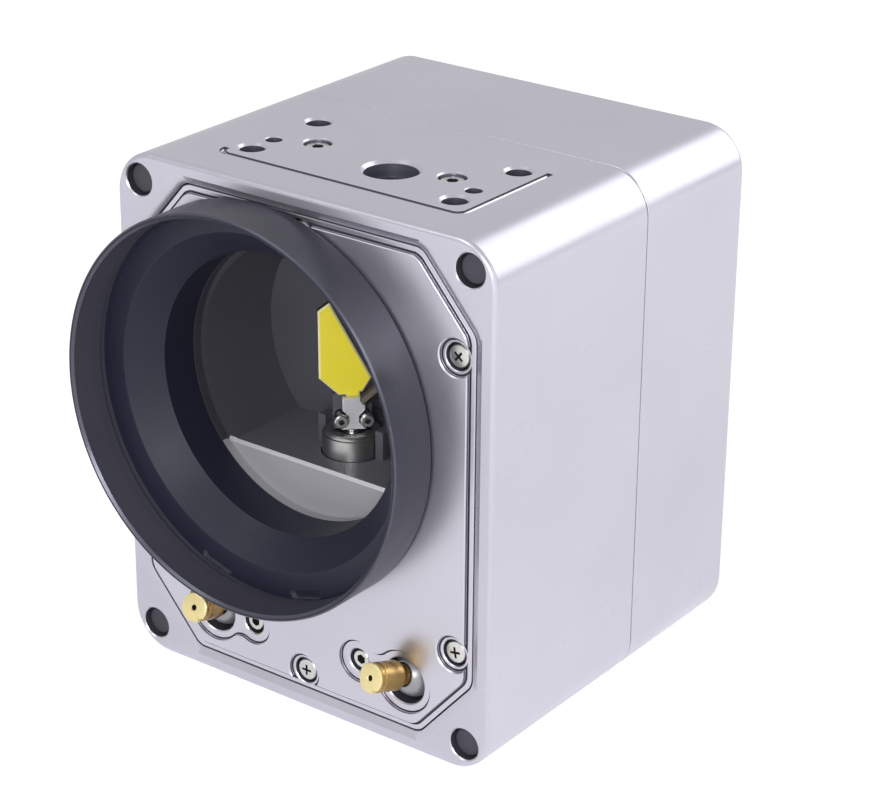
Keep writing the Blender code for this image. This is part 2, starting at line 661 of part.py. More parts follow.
def front_cover():
    """Inset plate with a raised pad, the lens hole, screw holes, pointer pockets and bosses."""
    rim = [(cover_outline(-GAP - 0.0003), -COVER_STEP), (cover_outline(-GAP), -COVER_STEP - 0.0003),
           (cover_outline(-GAP), -COVER_THICKNESS)]
    body = place("front_cover", loft(rim), face, look=SILVER)
    pad = add(body, "pad", slab([cover_outline(-PAD_INSET)], -COVER_STEP - OVERCUT, 0.0), face)
    for k, (x, z) in enumerate(cover_screw_places()):
        cut(pad, f"notch_{k}", rod(NOTCH_RADIUS, -COVER_STEP - 2 * OVERCUT, OVERCUT, 14), face, (x, z, 0))
        head = COVER_SCREW_HEAD + GAP
        seat = -COVER_STEP - COVER_SCREW_SINK - COVER_SCREW_HEAD * 0.7 - GAP
        profile = [(0.0, OVERCUT), (head, OVERCUT), (head, seat), (COVER_SCREW_SHANK + GAP, seat),
                   (COVER_SCREW_SHANK + GAP, -COVER_THICKNESS - OVERCUT), (0.0, -COVER_THICKNESS - OVERCUT)]
        cut(body, f"screw_{k}", turned(profile, 12), face, (x, z, 0))
    cut(body, "lens_hole", hub_seat(GAP, -COVER_THICKNESS - OVERCUT, 48), face, (LENS_X, LENS_Z, 0))
    for name, hole, lock in (("right", POINTER_RIGHT, POINTER_RIGHT_LOCK), ("left", POINTER_LEFT, POINTER_LEFT_LOCK)):
        boss_radius = POINTER_HOLE_RADIUS + POINTER_BOSS_WALL
        boss_back = -PIVOT_DEPTH - BALL_LENGTH / 2 - GAP
        add(body, name + "_boss", rod(boss_radius, boss_back, -COVER_THICKNESS + OVERCUT, 20), face, (*hole, 0))
        pocket = keyhole(hole, POINTER_POCKET_RADIUS, lock, POINTER_LOBE_RADIUS, POINTER_NECK, 12)
        cut(body, name + "_pocket", slab([pocket], -POINTER_POCKET, OVERCUT), face)
        cut(body, name + "_hole", rod(POINTER_HOLE_RADIUS, boss_back - OVERCUT, OVERCUT, 24), face, (*hole, 0))
        profile = [(0.0, OVERCUT), (LOCK_SCREW_HOLE, OVERCUT), (LOCK_SCREW_HOLE, -LOCK_SEAT),
                   (LOCK_SHANK + GAP, -LOCK_SEAT), (LOCK_SHANK + GAP, -COVER_THICKNESS - OVERCUT),
                   (0.0, -COVER_THICKNESS - OVERCUT)]
        cut(body, name + "_lock", turned(profile, 14), face, (*lock, 0))


def hub_seat(clearance, end, sides):
    """What the lens ring's hub and sleeve need, cut down to a depth."""
    slope = (HUB_RADIUS - SLEEVE_RADIUS) / (HUB_DEPTH + GAP)
    radius = SLEEVE_RADIUS + clearance
    mouth = HUB_RADIUS + clearance + slope * (OVERCUT - GAP)
    return turned([(0.0, OVERCUT), (mouth, OVERCUT), (radius, -HUB_DEPTH - clearance * 0.3), (radius, end),
                   (0.0, end)], sides)


def lens_ring():
    """Threaded cup with its seat, cone and sleeve, turned in one piece."""
    seat = RING_FLOOR
    rim_round = 0.0006
    profile = [(RING_RADIUS - rim_round, RING_REACH), (RING_RADIUS, RING_REACH - rim_round),
               (RING_RADIUS, GAP + rim_round), (RING_RADIUS - rim_round, GAP), (HUB_RADIUS, GAP),
               (SLEEVE_RADIUS, -HUB_DEPTH), (SLEEVE_RADIUS, -SLEEVE_DEPTH), (LENS_BORE_RADIUS, -SLEEVE_DEPTH),
               (LENS_BORE_RADIUS, -CONE_DEPTH), (CONE_RADIUS, seat), (SEAT_RADIUS, seat),
               (SEAT_RADIUS, seat - RELIEF_SINK), (RELIEF_RADIUS, seat - RELIEF_SINK),
               (RELIEF_RADIUS, seat + RELIEF_WIDTH), (THREAD_RADIUS, seat + RELIEF_WIDTH + 0.0004),
               (THREAD_RADIUS, RING_REACH - rim_round), (THREAD_RADIUS + rim_round, RING_REACH)]
    body = place("lens_ring", turned(profile, 48, closed=True), face, (LENS_X, LENS_Z, 0), look=BLACK)
    for side in (-1, 1):
        turn = -pi / 2 + side * radians(KEY_SLOT_ANGLE)
        slot = rounded(box_outline(-KEY_SLOT_LENGTH / 2, KEY_SLOT_LENGTH / 2, -KEY_SLOT_WIDTH / 2,
                                   KEY_SLOT_WIDTH / 2), KEY_SLOT_WIDTH * 0.49, 4)
        centre = (LENS_X + KEY_SLOT_RADIUS * cos(turn), LENS_Z + KEY_SLOT_RADIUS * sin(turn), 0)
        cut(body, f"key_slot_{side}", slab([slot], seat - KEY_SLOT_DEPTH, seat + OVERCUT), face,
            centre, (0, 0, turn + pi / 2))


def housing_fasteners():
    """Screws of the front cover, plugs of the corner holes and the two screws of the mount."""
    head_top = -COVER_STEP - COVER_SCREW_SINK
    screw = screw_mesh(COVER_SCREW_HEAD, COVER_SCREW_HEAD * 0.7, COVER_SCREW_SHANK, COVER_SCREW_LENGTH + head_top, 10)
    copies("front_cover_screw", screw, [(x, z, head_top) for x, z in cover_screw_places()], face, STEEL)
    radius = CORNER_HOLE_RADIUS - GAP
    plug = turned([(0.0, 0.0), (radius * 0.93, 0.0), (radius, -radius * 0.07), (radius, -PLUG_LENGTH),
                   (0.0, -PLUG_LENGTH)], 14)
    copies("corner_plug", plug, [(x, z, -PLUG_RECESS) for x, z in corner_places()], face, PLUG)
    mount_screw = screw_mesh(MOUNT_SCREW_HEAD, MOUNT_SCREW_HEAD, MOUNT_SCREW_SHANK, MOUNT_SCREW_LENGTH, 12)
    top = HOUSING_HEIGHT - MOUNT_SCREW_RECESS
    copies("mount_screw", mount_screw, [(x, FRONT + MOUNT_SCREW_DEPTH, top) for x in MOUNT_SCREW_X], None, STEEL)


def motor_mount():
    """One block with the mirrors' round chamber, the ledge of the upright motor with its saddle, and both bores."""
    offset = COVER_SIDE_MARGIN - SIDE_WALL - GAP
    top = CAVITY_TOP - GAP
    body = place("motor_mount", slab([cover_outline(offset, top=top)], -WALL_BACK, -MOUNT_FRONT), face, look=GREY)
    beside = box_outline(MOUNT_RIGHT, HOUSING_WIDTH, -OVERCUT, HOUSING_HEIGHT)
    cut(body, "beside", slab([beside], -WALL_FRONT, -MOUNT_FRONT + OVERCUT), face)
    below = box_outline(-HOUSING_WIDTH, HOUSING_WIDTH - OVERCUT, -2 * OVERCUT, MOUNT_BOTTOM)
    cut(body, "below", slab([below], -WALL_FRONT + OVERCUT / 10, -MOUNT_FRONT + 2 * OVERCUT), face)
    drop = LENS_Z - LEDGE_Z
    end = asin(drop / CHAMBER_RADIUS)
    chamber = arc((0, 0), CHAMBER_RADIUS, -end, pi + end, 36)
    cut(body, "chamber", slab([chamber], -CHAMBER_BACK, -MOUNT_FRONT + OVERCUT), face, (LENS_X, LENS_Z, 0))
    cut(body, "lens_pocket", rod(LENS_BORE_RADIUS, -LEDGE_FRONT, -MOUNT_FRONT + 2 * OVERCUT, 40), face,
        (LENS_X, LENS_Z, 0))
    saddle_radius = MOUNT_BORE + SADDLE_WALL
    half_ring = arc((0, 0), saddle_radius, -0.15, pi + 0.15, 14) + arc((0, 0), SHAFT_RADIUS, pi, 0, 4)
    add(body, "saddle", slab([half_ring], LEDGE_Z - OVERCUT, LEDGE_Z + SADDLE_HEIGHT), None,
        (Y_AXIS_X, FRONT + Y_AXIS_DEPTH, 0))
    upright = rod(MOUNT_BORE, MOUNT_BOTTOM - OVERCUT, LEDGE_Z + SADDLE_HEIGHT + OVERCUT, 24)
    cut(body, "upright_bore", upright, None, (Y_AXIS_X, FRONT + Y_AXIS_DEPTH, 0))
    level = rod(MOUNT_BORE, -WALL_BACK - OVERCUT, -CHAMBER_BACK + OVERCUT, 24)
    cut(body, "level_bore", level, face, (X_AXIS_X, LENS_Z, 0))
    cut(body, "beam_hole", rod(BEAM_HOLE_RADIUS, LENS_Z, top + OVERCUT, 20), None,
        (X_AXIS_X, FRONT + X_AXIS_DEPTH, 0))
    for k, x in enumerate(MOUNT_SCREW_X):
        cut(body, f"screw_hole_{k}", rod(MOUNT_SCREW_SHANK + GAP, top - MOUNT_SCREW_BITE, top + OVERCUT, 10),
            None, (x, FRONT + MOUNT_SCREW_DEPTH, 0))


def motor(axis, frame):
    """The fixed pieces of one galvo motor."""
    nose = -NOSE_DROP
    end = nose - MOTOR_LENGTH
    shaft_hole = SHAFT_RADIUS + GAP
    bearing = FRONT_BEARING_RADIUS + GAP
    wall = nose - MOTOR_FRONT_WALL
    profile = [(MOTOR_RADIUS - 0.0005, nose), (MOTOR_RADIUS, nose - 0.0005), (MOTOR_RADIUS, end), (MOTOR_BORE, end),
               (MOTOR_BORE, wall), (bearing, wall), (bearing, nose)]
    place(f"{axis}_motor_body", turned(profile, 20, closed=True), frame, look=STEEL)
    front = tube(FRONT_BEARING_RADIUS, shaft_hole, wall, wall + BEARING_WIDTH, 12)
    place(f"{axis}_front_bearing", front, frame, look=STEEL)
    rear = tube(MOTOR_BORE - GAP, shaft_hole, end + GAP, end + GAP + BEARING_WIDTH, 12)
    place(f"{axis}_rear_bearing", rear, frame, look=STEEL)
    coil_outer = MOTOR_BORE - GAP
    coil = tube(coil_outer, coil_outer - COIL_WALL, wall - GAP - COIL_LENGTH, wall - GAP, 12)
    place(f"{axis}_coil", coil, frame, look=COPPER)
    sensor(axis, frame, end - GAP)


def sensor(axis, frame, top):
    """The position sensor behind the motor: its cap and its board."""
    inner = SENSOR_RADIUS - SENSOR_WALL
    bottom = top - SENSOR_LENGTH
    floor = bottom + SENSOR_WALL
    profile = [(0.0, floor), (inner, floor), (inner, top - SENSOR_WALL), (SHAFT_RADIUS + 0.001, top - SENSOR_WALL),
               (SHAFT_RADIUS + 0.001, top), (SENSOR_RADIUS, top), (SENSOR_RADIUS, bottom), (0.0, bottom)]
    place(f"{axis}_sensor_housing", turned(profile, 16), frame, look=PLASTIC)
    board = tube(inner - GAP, SHAFT_RADIUS + 0.001, floor + GAP, floor + GAP + BOARD_THICKNESS, 12)
    place(f"{axis}_sensor_board", board, frame, look=BOARD)


def rotor(axis, frame, mirror_outline):
    """What turns: shaft, magnet, vane, holder, mirror, clamp and its screws."""
    end = -NOSE_DROP - MOTOR_LENGTH - GAP
    shaft_end = end - SENSOR_LENGTH * 0.6
    shaft_top = -HOLDER_BASE + 0.002
    place(f"{axis}_shaft", rod(SHAFT_RADIUS, shaft_end, shaft_top, 12), frame, look=STEEL)
    magnet_top = -NOSE_DROP - MOTOR_FRONT_WALL - 0.0015
    magnet = tube(MAGNET_RADIUS, SHAFT_RADIUS + GAP, magnet_top - MAGNET_LENGTH, magnet_top, 12)
    place(f"{axis}_magnet", magnet, frame, look=MAGNET)
    vane_outline = arc((0, 0), VANE_RADIUS, -0.6, 0.6, 5) + arc((0, 0), VANE_RADIUS * 0.5, 0.9, pi - 0.9, 4)
    vane_outline += arc((0, 0), VANE_RADIUS, pi - 0.6, pi + 0.6, 5)
    vane_outline += arc((0, 0), VANE_RADIUS * 0.5, pi + 0.9, 2 * pi - 0.9, 4)
    vane_top = shaft_end + 0.003
    vane = slab([vane_outline, circle(SHAFT_RADIUS + GAP, 12)], vane_top - VANE_THICKNESS, vane_top)
    place(f"{axis}_sensor_vane", vane, frame, look=STEEL)
    holder(axis, frame)
    # The mirror's outline lies in X and Z of the frame, its coated face towards -Y
    upright = (pi / 2, 0, 0)
    mirror = slab([mirror_outline], MIRROR_FACE - MIRROR_THICKNESS, MIRROR_FACE)
    place(f"{axis}_mirror", mirror, frame, rotation=upright, look=COATING)
    clamp_front = MIRROR_FACE + GAP + CLAMP_THICKNESS
    half, waist = CLAMP_WIDTH / 2, CLAMP_WAIST / 2
    middle = -CLAMP_SCREW_DROP
    right = [(half * 1.05, -CLAMP_BOTTOM), (waist, middle - 0.0007), (waist, middle + 0.0007),
             (half, middle + 0.0020), (half, -CLAMP_TOP)]
    outline = right + [(-x, z) for x, z in reversed(right)]
    place(f"{axis}_mirror_clamp", slab([outline], MIRROR_FACE + GAP, clamp_front), frame, rotation=upright, look=STEEL)
    length = clamp_front + GAP + CLAMP_SCREW_HEIGHT + HOLDER_RADIUS * 0.6
    screw = screw_mesh(CLAMP_SCREW_HEAD, CLAMP_SCREW_HEIGHT, CLAMP_SCREW_SHANK, length, 10)
    head_top = clamp_front + GAP + CLAMP_SCREW_HEIGHT
    for side in (-1, 1):
        where = upright_point(side * CLAMP_SCREW_X, middle, head_top)
        place(f"{axis}_clamp_screw_{(side + 3) // 2}", screw, frame, where, upright, STEEL)


def upright_point(x, z, out):
    """A point in a frame, from its X and Z and how far it lies towards -Y."""
    return (x, -out, z)


def holder(axis, frame):
    """The round block on the shaft that the mirror's neck lies against."""
    body = place(f"{axis}_mirror_holder", rod(HOLDER_RADIUS, -HOLDER_BASE, -HOLDER_TOP, 20), frame, look=GREY)
    back_face = -MIRROR_FACE + MIRROR_THICKNESS + GAP
    height = NECK_END + GAP - HOLDER_TOP + OVERCUT
    width = 4 * HOLDER_RADIUS
    seat = brick((width, width, height), (0, back_face - width / 2, -NECK_END - GAP + height / 2))
    cut(body, "seat", seat, frame)
    flat = brick((width, width, 2 * HOLDER_BASE), (0, -MIRROR_FACE - width / 2, -HOLDER_BASE))
    cut(body, "flat", flat, frame)
    cut(body, "socket", rod(SHAFT_RADIUS + GAP, -HOLDER_BASE - OVERCUT, -HOLDER_BASE + 0.002 + GAP, 12), frame)
    for side in (-1, 1):
        hole = rod(CLAMP_SCREW_SHANK + GAP, -HOLDER_RADIUS - OVERCUT, HOLDER_RADIUS + OVERCUT, 10)
        cut(body, f"screw_hole_{side}", hole, frame, (side * CLAMP_SCREW_X, 0, -CLAMP_SCREW_DROP), (pi / 2, 0, 0))


def mirror_neck():
    """The neck's two corners at each side, bottom right first."""
    return [(-NECK_WIDTH / 2, -NECK_END), (NECK_WIDTH / 2, -NECK_END)]


def galvo_axes():
    """Both motors with their rotors. The second mirror is the one that shows."""
    for axis, frame, outline in (("y", y_frame, Y_MIRROR), ("x", x_frame, X_MIRROR)):
        motor(axis, frame)
        neck = mirror_neck()
        shoulder_left = (-NECK_WIDTH / 2, outline[-1][1])
        shoulder_right = (NECK_WIDTH / 2, outline[0][1])
        rotor(axis, frame, neck + [shoulder_right] + outline + [shoulder_left])


def pointer(name, hole, lean):
    """One aiming pointer: brass barrel and the ball that it turns with."""
    across, up = radians(lean[0]), radians(lean[1])
    pivot = (hole[0], FRONT + PIVOT_DEPTH, hole[1])
    frame = empty(f"pointer_{name}_frame", pivot, (pi / 2 - up, 0, across))
    sleeve = BARREL_NECK + GAP
    ball_radius = POINTER_HOLE_RADIUS - GAP
    half = BALL_LENGTH / 2
    limit = asin(half / ball_radius)
    profile = [(ball_radius * cos(t), ball_radius * sin(t)) for t in
               [limit - 2 * limit * k / 4 for k in range(5)]]
    profile += [(sleeve, -half), (sleeve, half)]
    place(f"pointer_ball_{name}", turned(profile, 16, closed=True), frame, look=STEEL)
    tip = BARREL_REACH
    neck = tip - BARREL_HEAD
    profile = [(0.0, tip - 0.0012), (BARREL_EYE, tip - 0.0012), (BARREL_EYE, tip), (BARREL_RADIUS - 0.0004, tip),
               (BARREL_RADIUS, tip - 0.0004), (BARREL_RADIUS, neck), (BARREL_NECK, neck - 0.0002),
               (BARREL_NECK, -BARREL_TAIL), (0.0, -BARREL_TAIL)]
    place(f"pointer_barrel_{name}", turned(profile, 16), frame, look=BRASS)


def pointers():
    """Both pointers and the lock screw beside each."""
    pointer("right", POINTER_RIGHT, POINTER_RIGHT_LEAN)
    pointer("left", POINTER_LEFT, POINTER_LEFT_LEAN)
    screw = screw_mesh(LOCK_SCREW_RADIUS, LOCK_SEAT - LOCK_SCREW_DEPTH - GAP, LOCK_SHANK,
                       COVER_THICKNESS - LOCK_SCREW_DEPTH, 12)
    for name, spot in (("right", POINTER_RIGHT_LOCK), ("left", POINTER_LEFT_LOCK)):
        place(f"pointer_lock_screw_{name}", screw, face, (*spot, -LOCK_SCREW_DEPTH), look=STEEL)


def board_fixings():
    """Depth and Z of the four fixings of a driver board."""
    depths = (DRIVER_BOARD_DEPTH[0] + 0.004, DRIVER_BOARD_DEPTH[1] - 0.004)
    heights = (DRIVER_BOARD_Z[0] + 0.006, DRIVER_BOARD_Z[1] - 0.006)
    return [(depth, z) for depth in depths for z in heights]


def board_bracket():
    """A bent sheet on the mount's back wall, with an arm and pressed-in spacers for each driver board."""
    out = DRIVER_BOARD_X + BOARD_THICKNESS + GAP + SPACER_LENGTH
    near, far = FRONT + WALL_BACK + GAP, FRONT + DRIVER_BOARD_DEPTH[1]
    thick = BRACKET_WALL
    sheet = [(-out - thick, near), (out + thick, near), (out + thick, far), (out, far), (out, near + thick),
             (-out, near + thick), (-out, far), (-out - thick, far)]
    body = place("board_bracket", slab([sheet], *DRIVER_BOARD_Z), look=SILVER)
    cut(body, "motor_hole", rod(MOTOR_RADIUS + 0.002, -WALL_BACK - 0.01, -WALL_BACK + 0.01, 20), face,
        (X_AXIS_X, LENS_Z, 0))
    for side in (-1, 1):
        for k, (depth, z) in enumerate(board_fixings()):
            spacer = rod(SPACER_RADIUS, -SPACER_LENGTH, BRACKET_WALL / 2, 8)
            add(body, f"spacer_{side}_{k}", spacer, None, (side * out, FRONT + depth, z), (0, side * pi / 2, 0))


def driver_boards():
    """The two driver boards with the amplifiers, chips and capacitors on their inner faces."""
    z0, z1 = DRIVER_BOARD_Z
    d0, d1 = DRIVER_BOARD_DEPTH
    height, middle, middle_y = z1 - z0, (z0 + z1) / 2, FRONT + (d0 + d1) / 2
    sunk = BOARD_THICKNESS / 2
    for axis, side in (("y", -1), ("x", 1)):
        centre = (side * (DRIVER_BOARD_X + BOARD_THICKNESS / 2), middle_y, middle)
        body = place(f"{axis}_driver_board", brick((BOARD_THICKNESS, d1 - d0, height), centre), look=BOARD)
        for k, (tall, deep, long, step) in enumerate(CHIPS):
            chip = brick((tall + sunk, deep, long), (-side * (tall - sunk) / 2, 0, 0))
            add(body, f"chip_{k}", chip, None, (side * DRIVER_BOARD_X, middle_y, middle + step * height))
        for shift in (-1, 1):
            spot = (side * DRIVER_BOARD_X, middle_y + shift * CAPACITOR_RADIUS * 1.3, middle + 0.34 * height)
            add(body, f"capacitor_{shift}", rod(CAPACITOR_RADIUS, -CAPACITOR_LENGTH, sunk, 12), None,
                spot, (0, side * pi / 2, 0))


def interface_board():
    """The board that carries the connectors."""
    board_back = -REAR_INNER + GAP + INTERFACE_STANDOFF
    outline = box_outline(-INTERFACE_BOARD_HALF, INTERFACE_BOARD_HALF, *INTERFACE_BOARD_Z)
    place("interface_board", slab([outline], board_back, board_back + BOARD_THICKNESS), face, look=BOARD)


def interface_fixings():
    """X and Z of the four posts of the interface board."""
    low, high = INTERFACE_BOARD_Z
    side = INTERFACE_BOARD_HALF - 0.004
    return [(x, z) for x in (-side, side) for z in (low + 0.004, high - 0.004)]


def signal_connector():
    """The wide connector: flange with its D-shaped shell, and the insert with twenty-five sockets."""
    back = -HOUSING_DEPTH
    flange = rounded(box_outline(-SIGNAL_FLANGE_HALF, SIGNAL_FLANGE_HALF, -SIGNAL_FLANGE_HEIGHT / 2,
                                 SIGNAL_FLANGE_HEIGHT / 2), 0.0015, 2)
    wall = SIGNAL_SHELL_WALL
    outer = connector_outline(SIGNAL_HALF_WIDTH, SIGNAL_HALF_HEIGHT)
    inner = connector_outline(SIGNAL_HALF_WIDTH - wall, SIGNAL_HALF_HEIGHT - wall)
    holes = [circle(JACK_HOLE, 10, (side * JACK_SPACING, 0)) for side in (-1, 1)]
    plate = slab([flange, inner] + holes, back - GAP - SIGNAL_FLANGE_THICKNESS, back - GAP)
    shell = place("signal_connector_shell", plate, face, (0, SIGNAL_Z, 0), look=STEEL)
    add(shell, "skirt", slab([outer, inner], back - SIGNAL_REACH, back - GAP - SIGNAL_FLANGE_THICKNESS / 2), face,
        (0, SIGNAL_Z, 0))
    core = connector_outline(SIGNAL_HALF_WIDTH - wall - GAP, SIGNAL_HALF_HEIGHT - wall - GAP)
    board_back = -REAR_INNER + INTERFACE_STANDOFF
    insert = place("signal_connector_insert", slab([core], back - SIGNAL_REACH + GAP, board_back), face,
                   (0, SIGNAL_Z, 0), look=PLASTIC)
    for k, (x, z) in enumerate(contact_places()):
        socket = rod(CONTACT_RADIUS, back - SIGNAL_REACH - OVERCUT, back - SIGNAL_REACH + SOCKET_DEPTH, 5)
        cut(insert, f"socket_{k}", socket, face, (x, SIGNAL_Z + z, 0))


def contact_places():
    """Thirteen sockets above twelve."""
    upper = [((k - 6) * CONTACT_PITCH, CONTACT_ROW) for k in range(13)]
    lower = [((k - 5.5) * CONTACT_PITCH, -CONTACT_ROW) for k in range(12)]
    return upper + lower


def power_connector():
    """The round connector: flanged cup, and the insert with its four pins."""
    back = -HOUSING_DEPTH
    inner = POWER_RADIUS - POWER_WALL
    flange_back = back - GAP - POWER_FLANGE_THICKNESS
    front = -REAR_INNER + INTERFACE_STANDOFF
    profile = [(POWER_RADIUS, front), (POWER_RADIUS, back - GAP), (POWER_FLANGE, back - GAP),
               (POWER_FLANGE, flange_back), (POWER_RADIUS, flange_back), (POWER_RADIUS, back - POWER_REACH),
               (inner, back - POWER_REACH), (inner, front)]
    place("power_connector_body", turned(profile, 20, closed=True), face, (POWER_X, POWER_Z, 0), look=STEEL)
    insert = place("power_connector_insert", rod(inner - GAP, back - 0.001, front, 16), face,
                   (POWER_X, POWER_Z, 0), look=PLASTIC)
    for k in range(4):
        turn = pi / 4 + k * pi / 2
        pin = rod(POWER_PIN_RADIUS, back - POWER_REACH + OVERCUT, back + OVERCUT, 8)
        spot = (POWER_X + POWER_PIN_CIRCLE * cos(turn), POWER_Z + POWER_PIN_CIRCLE * sin(turn), 0)
        add(insert, f"pin_{k}", pin, face, spot)


front_housing()
housing_seal()
rear_cover()
front_cover()
lens_ring()
housing_fasteners()
motor_mount()
galvo_axes()
pointers()
board_bracket()
driver_boards()
interface_board()
signal_connector()
power_connector()
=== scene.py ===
from math import asin, atan2, cos, pi, radians, sin, sqrt, tan

import bmesh
import bpy
from mathutils import Euler, Matrix, Vector


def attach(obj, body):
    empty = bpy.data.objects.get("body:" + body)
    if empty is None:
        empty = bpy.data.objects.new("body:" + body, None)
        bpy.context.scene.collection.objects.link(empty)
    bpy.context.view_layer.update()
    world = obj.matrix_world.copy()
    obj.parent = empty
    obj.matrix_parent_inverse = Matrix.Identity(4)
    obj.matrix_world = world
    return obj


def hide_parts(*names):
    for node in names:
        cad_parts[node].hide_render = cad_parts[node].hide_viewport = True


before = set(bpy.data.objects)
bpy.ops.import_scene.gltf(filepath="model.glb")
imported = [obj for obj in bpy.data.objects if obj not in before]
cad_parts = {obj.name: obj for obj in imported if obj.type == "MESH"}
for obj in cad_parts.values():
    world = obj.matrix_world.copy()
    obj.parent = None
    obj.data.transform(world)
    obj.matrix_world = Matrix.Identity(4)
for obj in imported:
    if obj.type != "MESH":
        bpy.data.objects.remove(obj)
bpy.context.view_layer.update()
mm = 0.001
frontY = -0.0455        # the front face; depths are counted back from it, in mm
gap = 0.3               # between pieces that touch
weld = 0.0004           # points of a finished piece that are closer than this become one
mostFinishes = 5        # on one piece: the lens ring and the motor mount have five
lensX = -9.8
beamZ = 68.4            # the height of the lens, of both mirrors and of the beam between them
shafts = {"y": (-8.4, 27.6), "x": (5.6, 23.1)}      # how far right and how far back each motor's axis lies


# where things are: every form is drawn in mm in its own frame, then put in place

def onFace(x=0.0, z=0.0, out=0.0):
    # local X and Y lie in the front face, local Z points out of it
    place = Matrix.Translation((x * mm, frontY - out * mm, z * mm))
    return place @ Matrix.Rotation(pi / 2, 4, "X") @ Matrix.Scale(mm, 4)


def onShaft(axis, turn):
    x, depth = shafts[axis]
    return Matrix.Translation((x * mm, frontY + depth * mm, beamZ * mm)) @ turn @ Matrix.Scale(mm, 4)


shaftPlaces = {"y": onShaft("y", Matrix.Rotation(pi / 4, 4, "Z")),
               "x": onShaft("x", Euler((pi / 2, 3 * pi / 4, 0)).to_matrix().to_4x4())}
upright = Matrix.Rotation(pi / 2, 4, "X")      # stands a flat form up in a motor's frame
lidUp = Matrix.Rotation(-pi / 2, 4, "X")       # turns a hole's axis to the housing's top


# forms

def bevelled(form, edges, width, segments):
    bmesh.ops.bevel(form, geom=edges, offset=width, offset_type="OFFSET", segments=segments, profile=0.5,
                    affect="EDGES", clamp_overlap=True, material=-1)
    return form


def turnedForm(profile, steps=64, closed=False):
    form = bmesh.new()
    points = [form.verts.new((radius, 0, height)) for radius, height in profile]
    lines = [form.edges.new(pair) for pair in zip(points, points[1:])]
    if closed:
        lines.append(form.edges.new((points[-1], points[0])))
    bmesh.ops.spin(form, geom=points + lines, cent=(0, 0, 0), axis=(0, 0, 1), dvec=(0, 0, 0), angle=2 * pi,
                   steps=steps, use_merge=True, use_normal_flip=False, use_duplicate=False)
    bmesh.ops.remove_doubles(form, verts=form.verts, dist=0.0005)
    bmesh.ops.recalc_face_normals(form, faces=form.faces)
    return form


def rodForm(radius, low, high, steps=48):
    return turnedForm([(0, high), (radius, high), (radius, low), (0, low)], steps)


def rectangle(left, low, right, high):
    return [(left, low), (right, low), (right, high), (left, high)]


def pulledOut(form, faces, rise):
    # extrudes faces along Z and gives back their moved corners
    grown = bmesh.ops.extrude_face_region(form, geom=faces)["geom"]
    moved = [part for part in grown if isinstance(part, bmesh.types.BMVert)]
    bmesh.ops.translate(form, vec=(0, 0, rise), verts=moved)
    return moved


def plateForm(corners, low, high, corner=0.0, cornerSteps=8, front=0.0, back=0.0, steps=3):
    # a plate through a few corners, its corners rounded, its front and back edges eased
    form = bmesh.new()
    face = form.faces.new([form.verts.new((x, y, low)) for x, y in corners])
    pulledOut(form, [face], high - low)
    bmesh.ops.recalc_face_normals(form, faces=form.faces)
    if corner:
        standing = [e for e in form.edges if abs(e.verts[0].co.z - e.verts[1].co.z) > 0.001]
        bevelled(form, standing, corner, cornerSteps)
    for width, level in ((front, high), (back, low)):
        if width:
            rim = [e for e in form.edges if all(abs(v.co.z - level) < 0.0001 for v in e.verts)]
            bevelled(form, rim, width, steps)
    return form


def barForm(size, centre=(0, 0, 0)):
    form = bmesh.new()
    bmesh.ops.create_cube(form, size=1.0)
    bmesh.ops.scale(form, vec=size, verts=form.verts)
    bmesh.ops.translate(form, vec=centre, verts=form.verts)
    return form


def drill(radius, top, bottom, chamfer=0.0, steps=48, extra=()):
    # a hole's tool from above a face at height top; extra steps are (radius, depth) pairs further down
    over = 1.0
    profile = [(0, top + over), (radius + chamfer + over, top + over), (radius, top - chamfer)]
    if not chamfer:
        profile = [(0, top + over), (radius, top + over)]
    last = radius
    for nextRadius, depth in extra:
        profile += [(last, depth), (nextRadius, depth)]
        last = nextRadius
    return turnedForm(profile + [(last, bottom), (0, bottom)], steps)


def shifted(form, x=0.0, y=0.0, z=0.0, turn=None):
    matrix = Matrix.Translation((x, y, z))
    if turn is not None:
        matrix = matrix @ turn
    bmesh.ops.transform(form, matrix=matrix, verts=form.verts)
    return form


def drills(spots, *sizes, **more):
    # the same hole at several spots of the front face
    return [shifted(drill(*sizes, **more), x, z) for x, z in spots]


def gathered(forms):
    # several forms that don't touch, as one
    whole = bmesh.new()
    for form in forms:
        spare = bpy.data.meshes.new("spare")
        form.to_mesh(spare)
        form.free()
        whole.from_mesh(spare)
        bpy.data.meshes.remove(spare)
    return whole


def carved(form, tools, operation="DIFFERENCE"):
    # an exact Boolean with tools that don't touch one another; a tool's finish numbers stay on its cut
    spares = []
    for part in (form, gathered(tools)):
        mesh = bpy.data.meshes.new("spare")
        part.to_mesh(mesh)
        part.free()
        for number in range(mostFinishes):
            mesh.materials.append(None)
        spare = bpy.data.objects.new("spare", mesh)
        bpy.context.collection.objects.link(spare)
        spares.append(spare)
    step = spares[0].modifiers.new("carve", "BOOLEAN")
    step.operation = operation
    step.solver = "EXACT"
    step.object = spares[1]
    graph = bpy.context.evaluated_depsgraph_get()
    result = bmesh.new()
    result.from_mesh(spares[0].evaluated_get(graph).to_mesh())
    for spare in spares:
        mesh = spare.data
        bpy.data.objects.remove(spare, do_unlink=True)
        bpy.data.meshes.remove(mesh)
    return result


def middle(face):
    return face.calc_center_median()


def painted(form, index, test):
    for face in form.faces:
        if test(face):
            face.material_index = index
    return form


def holeWallShade(tool, below=-0.35, index=1):
    # the walls of the hole that a tool cuts take a darker finish, painted shade
    return painted(tool, index, lambda face: middle(face).z < below)


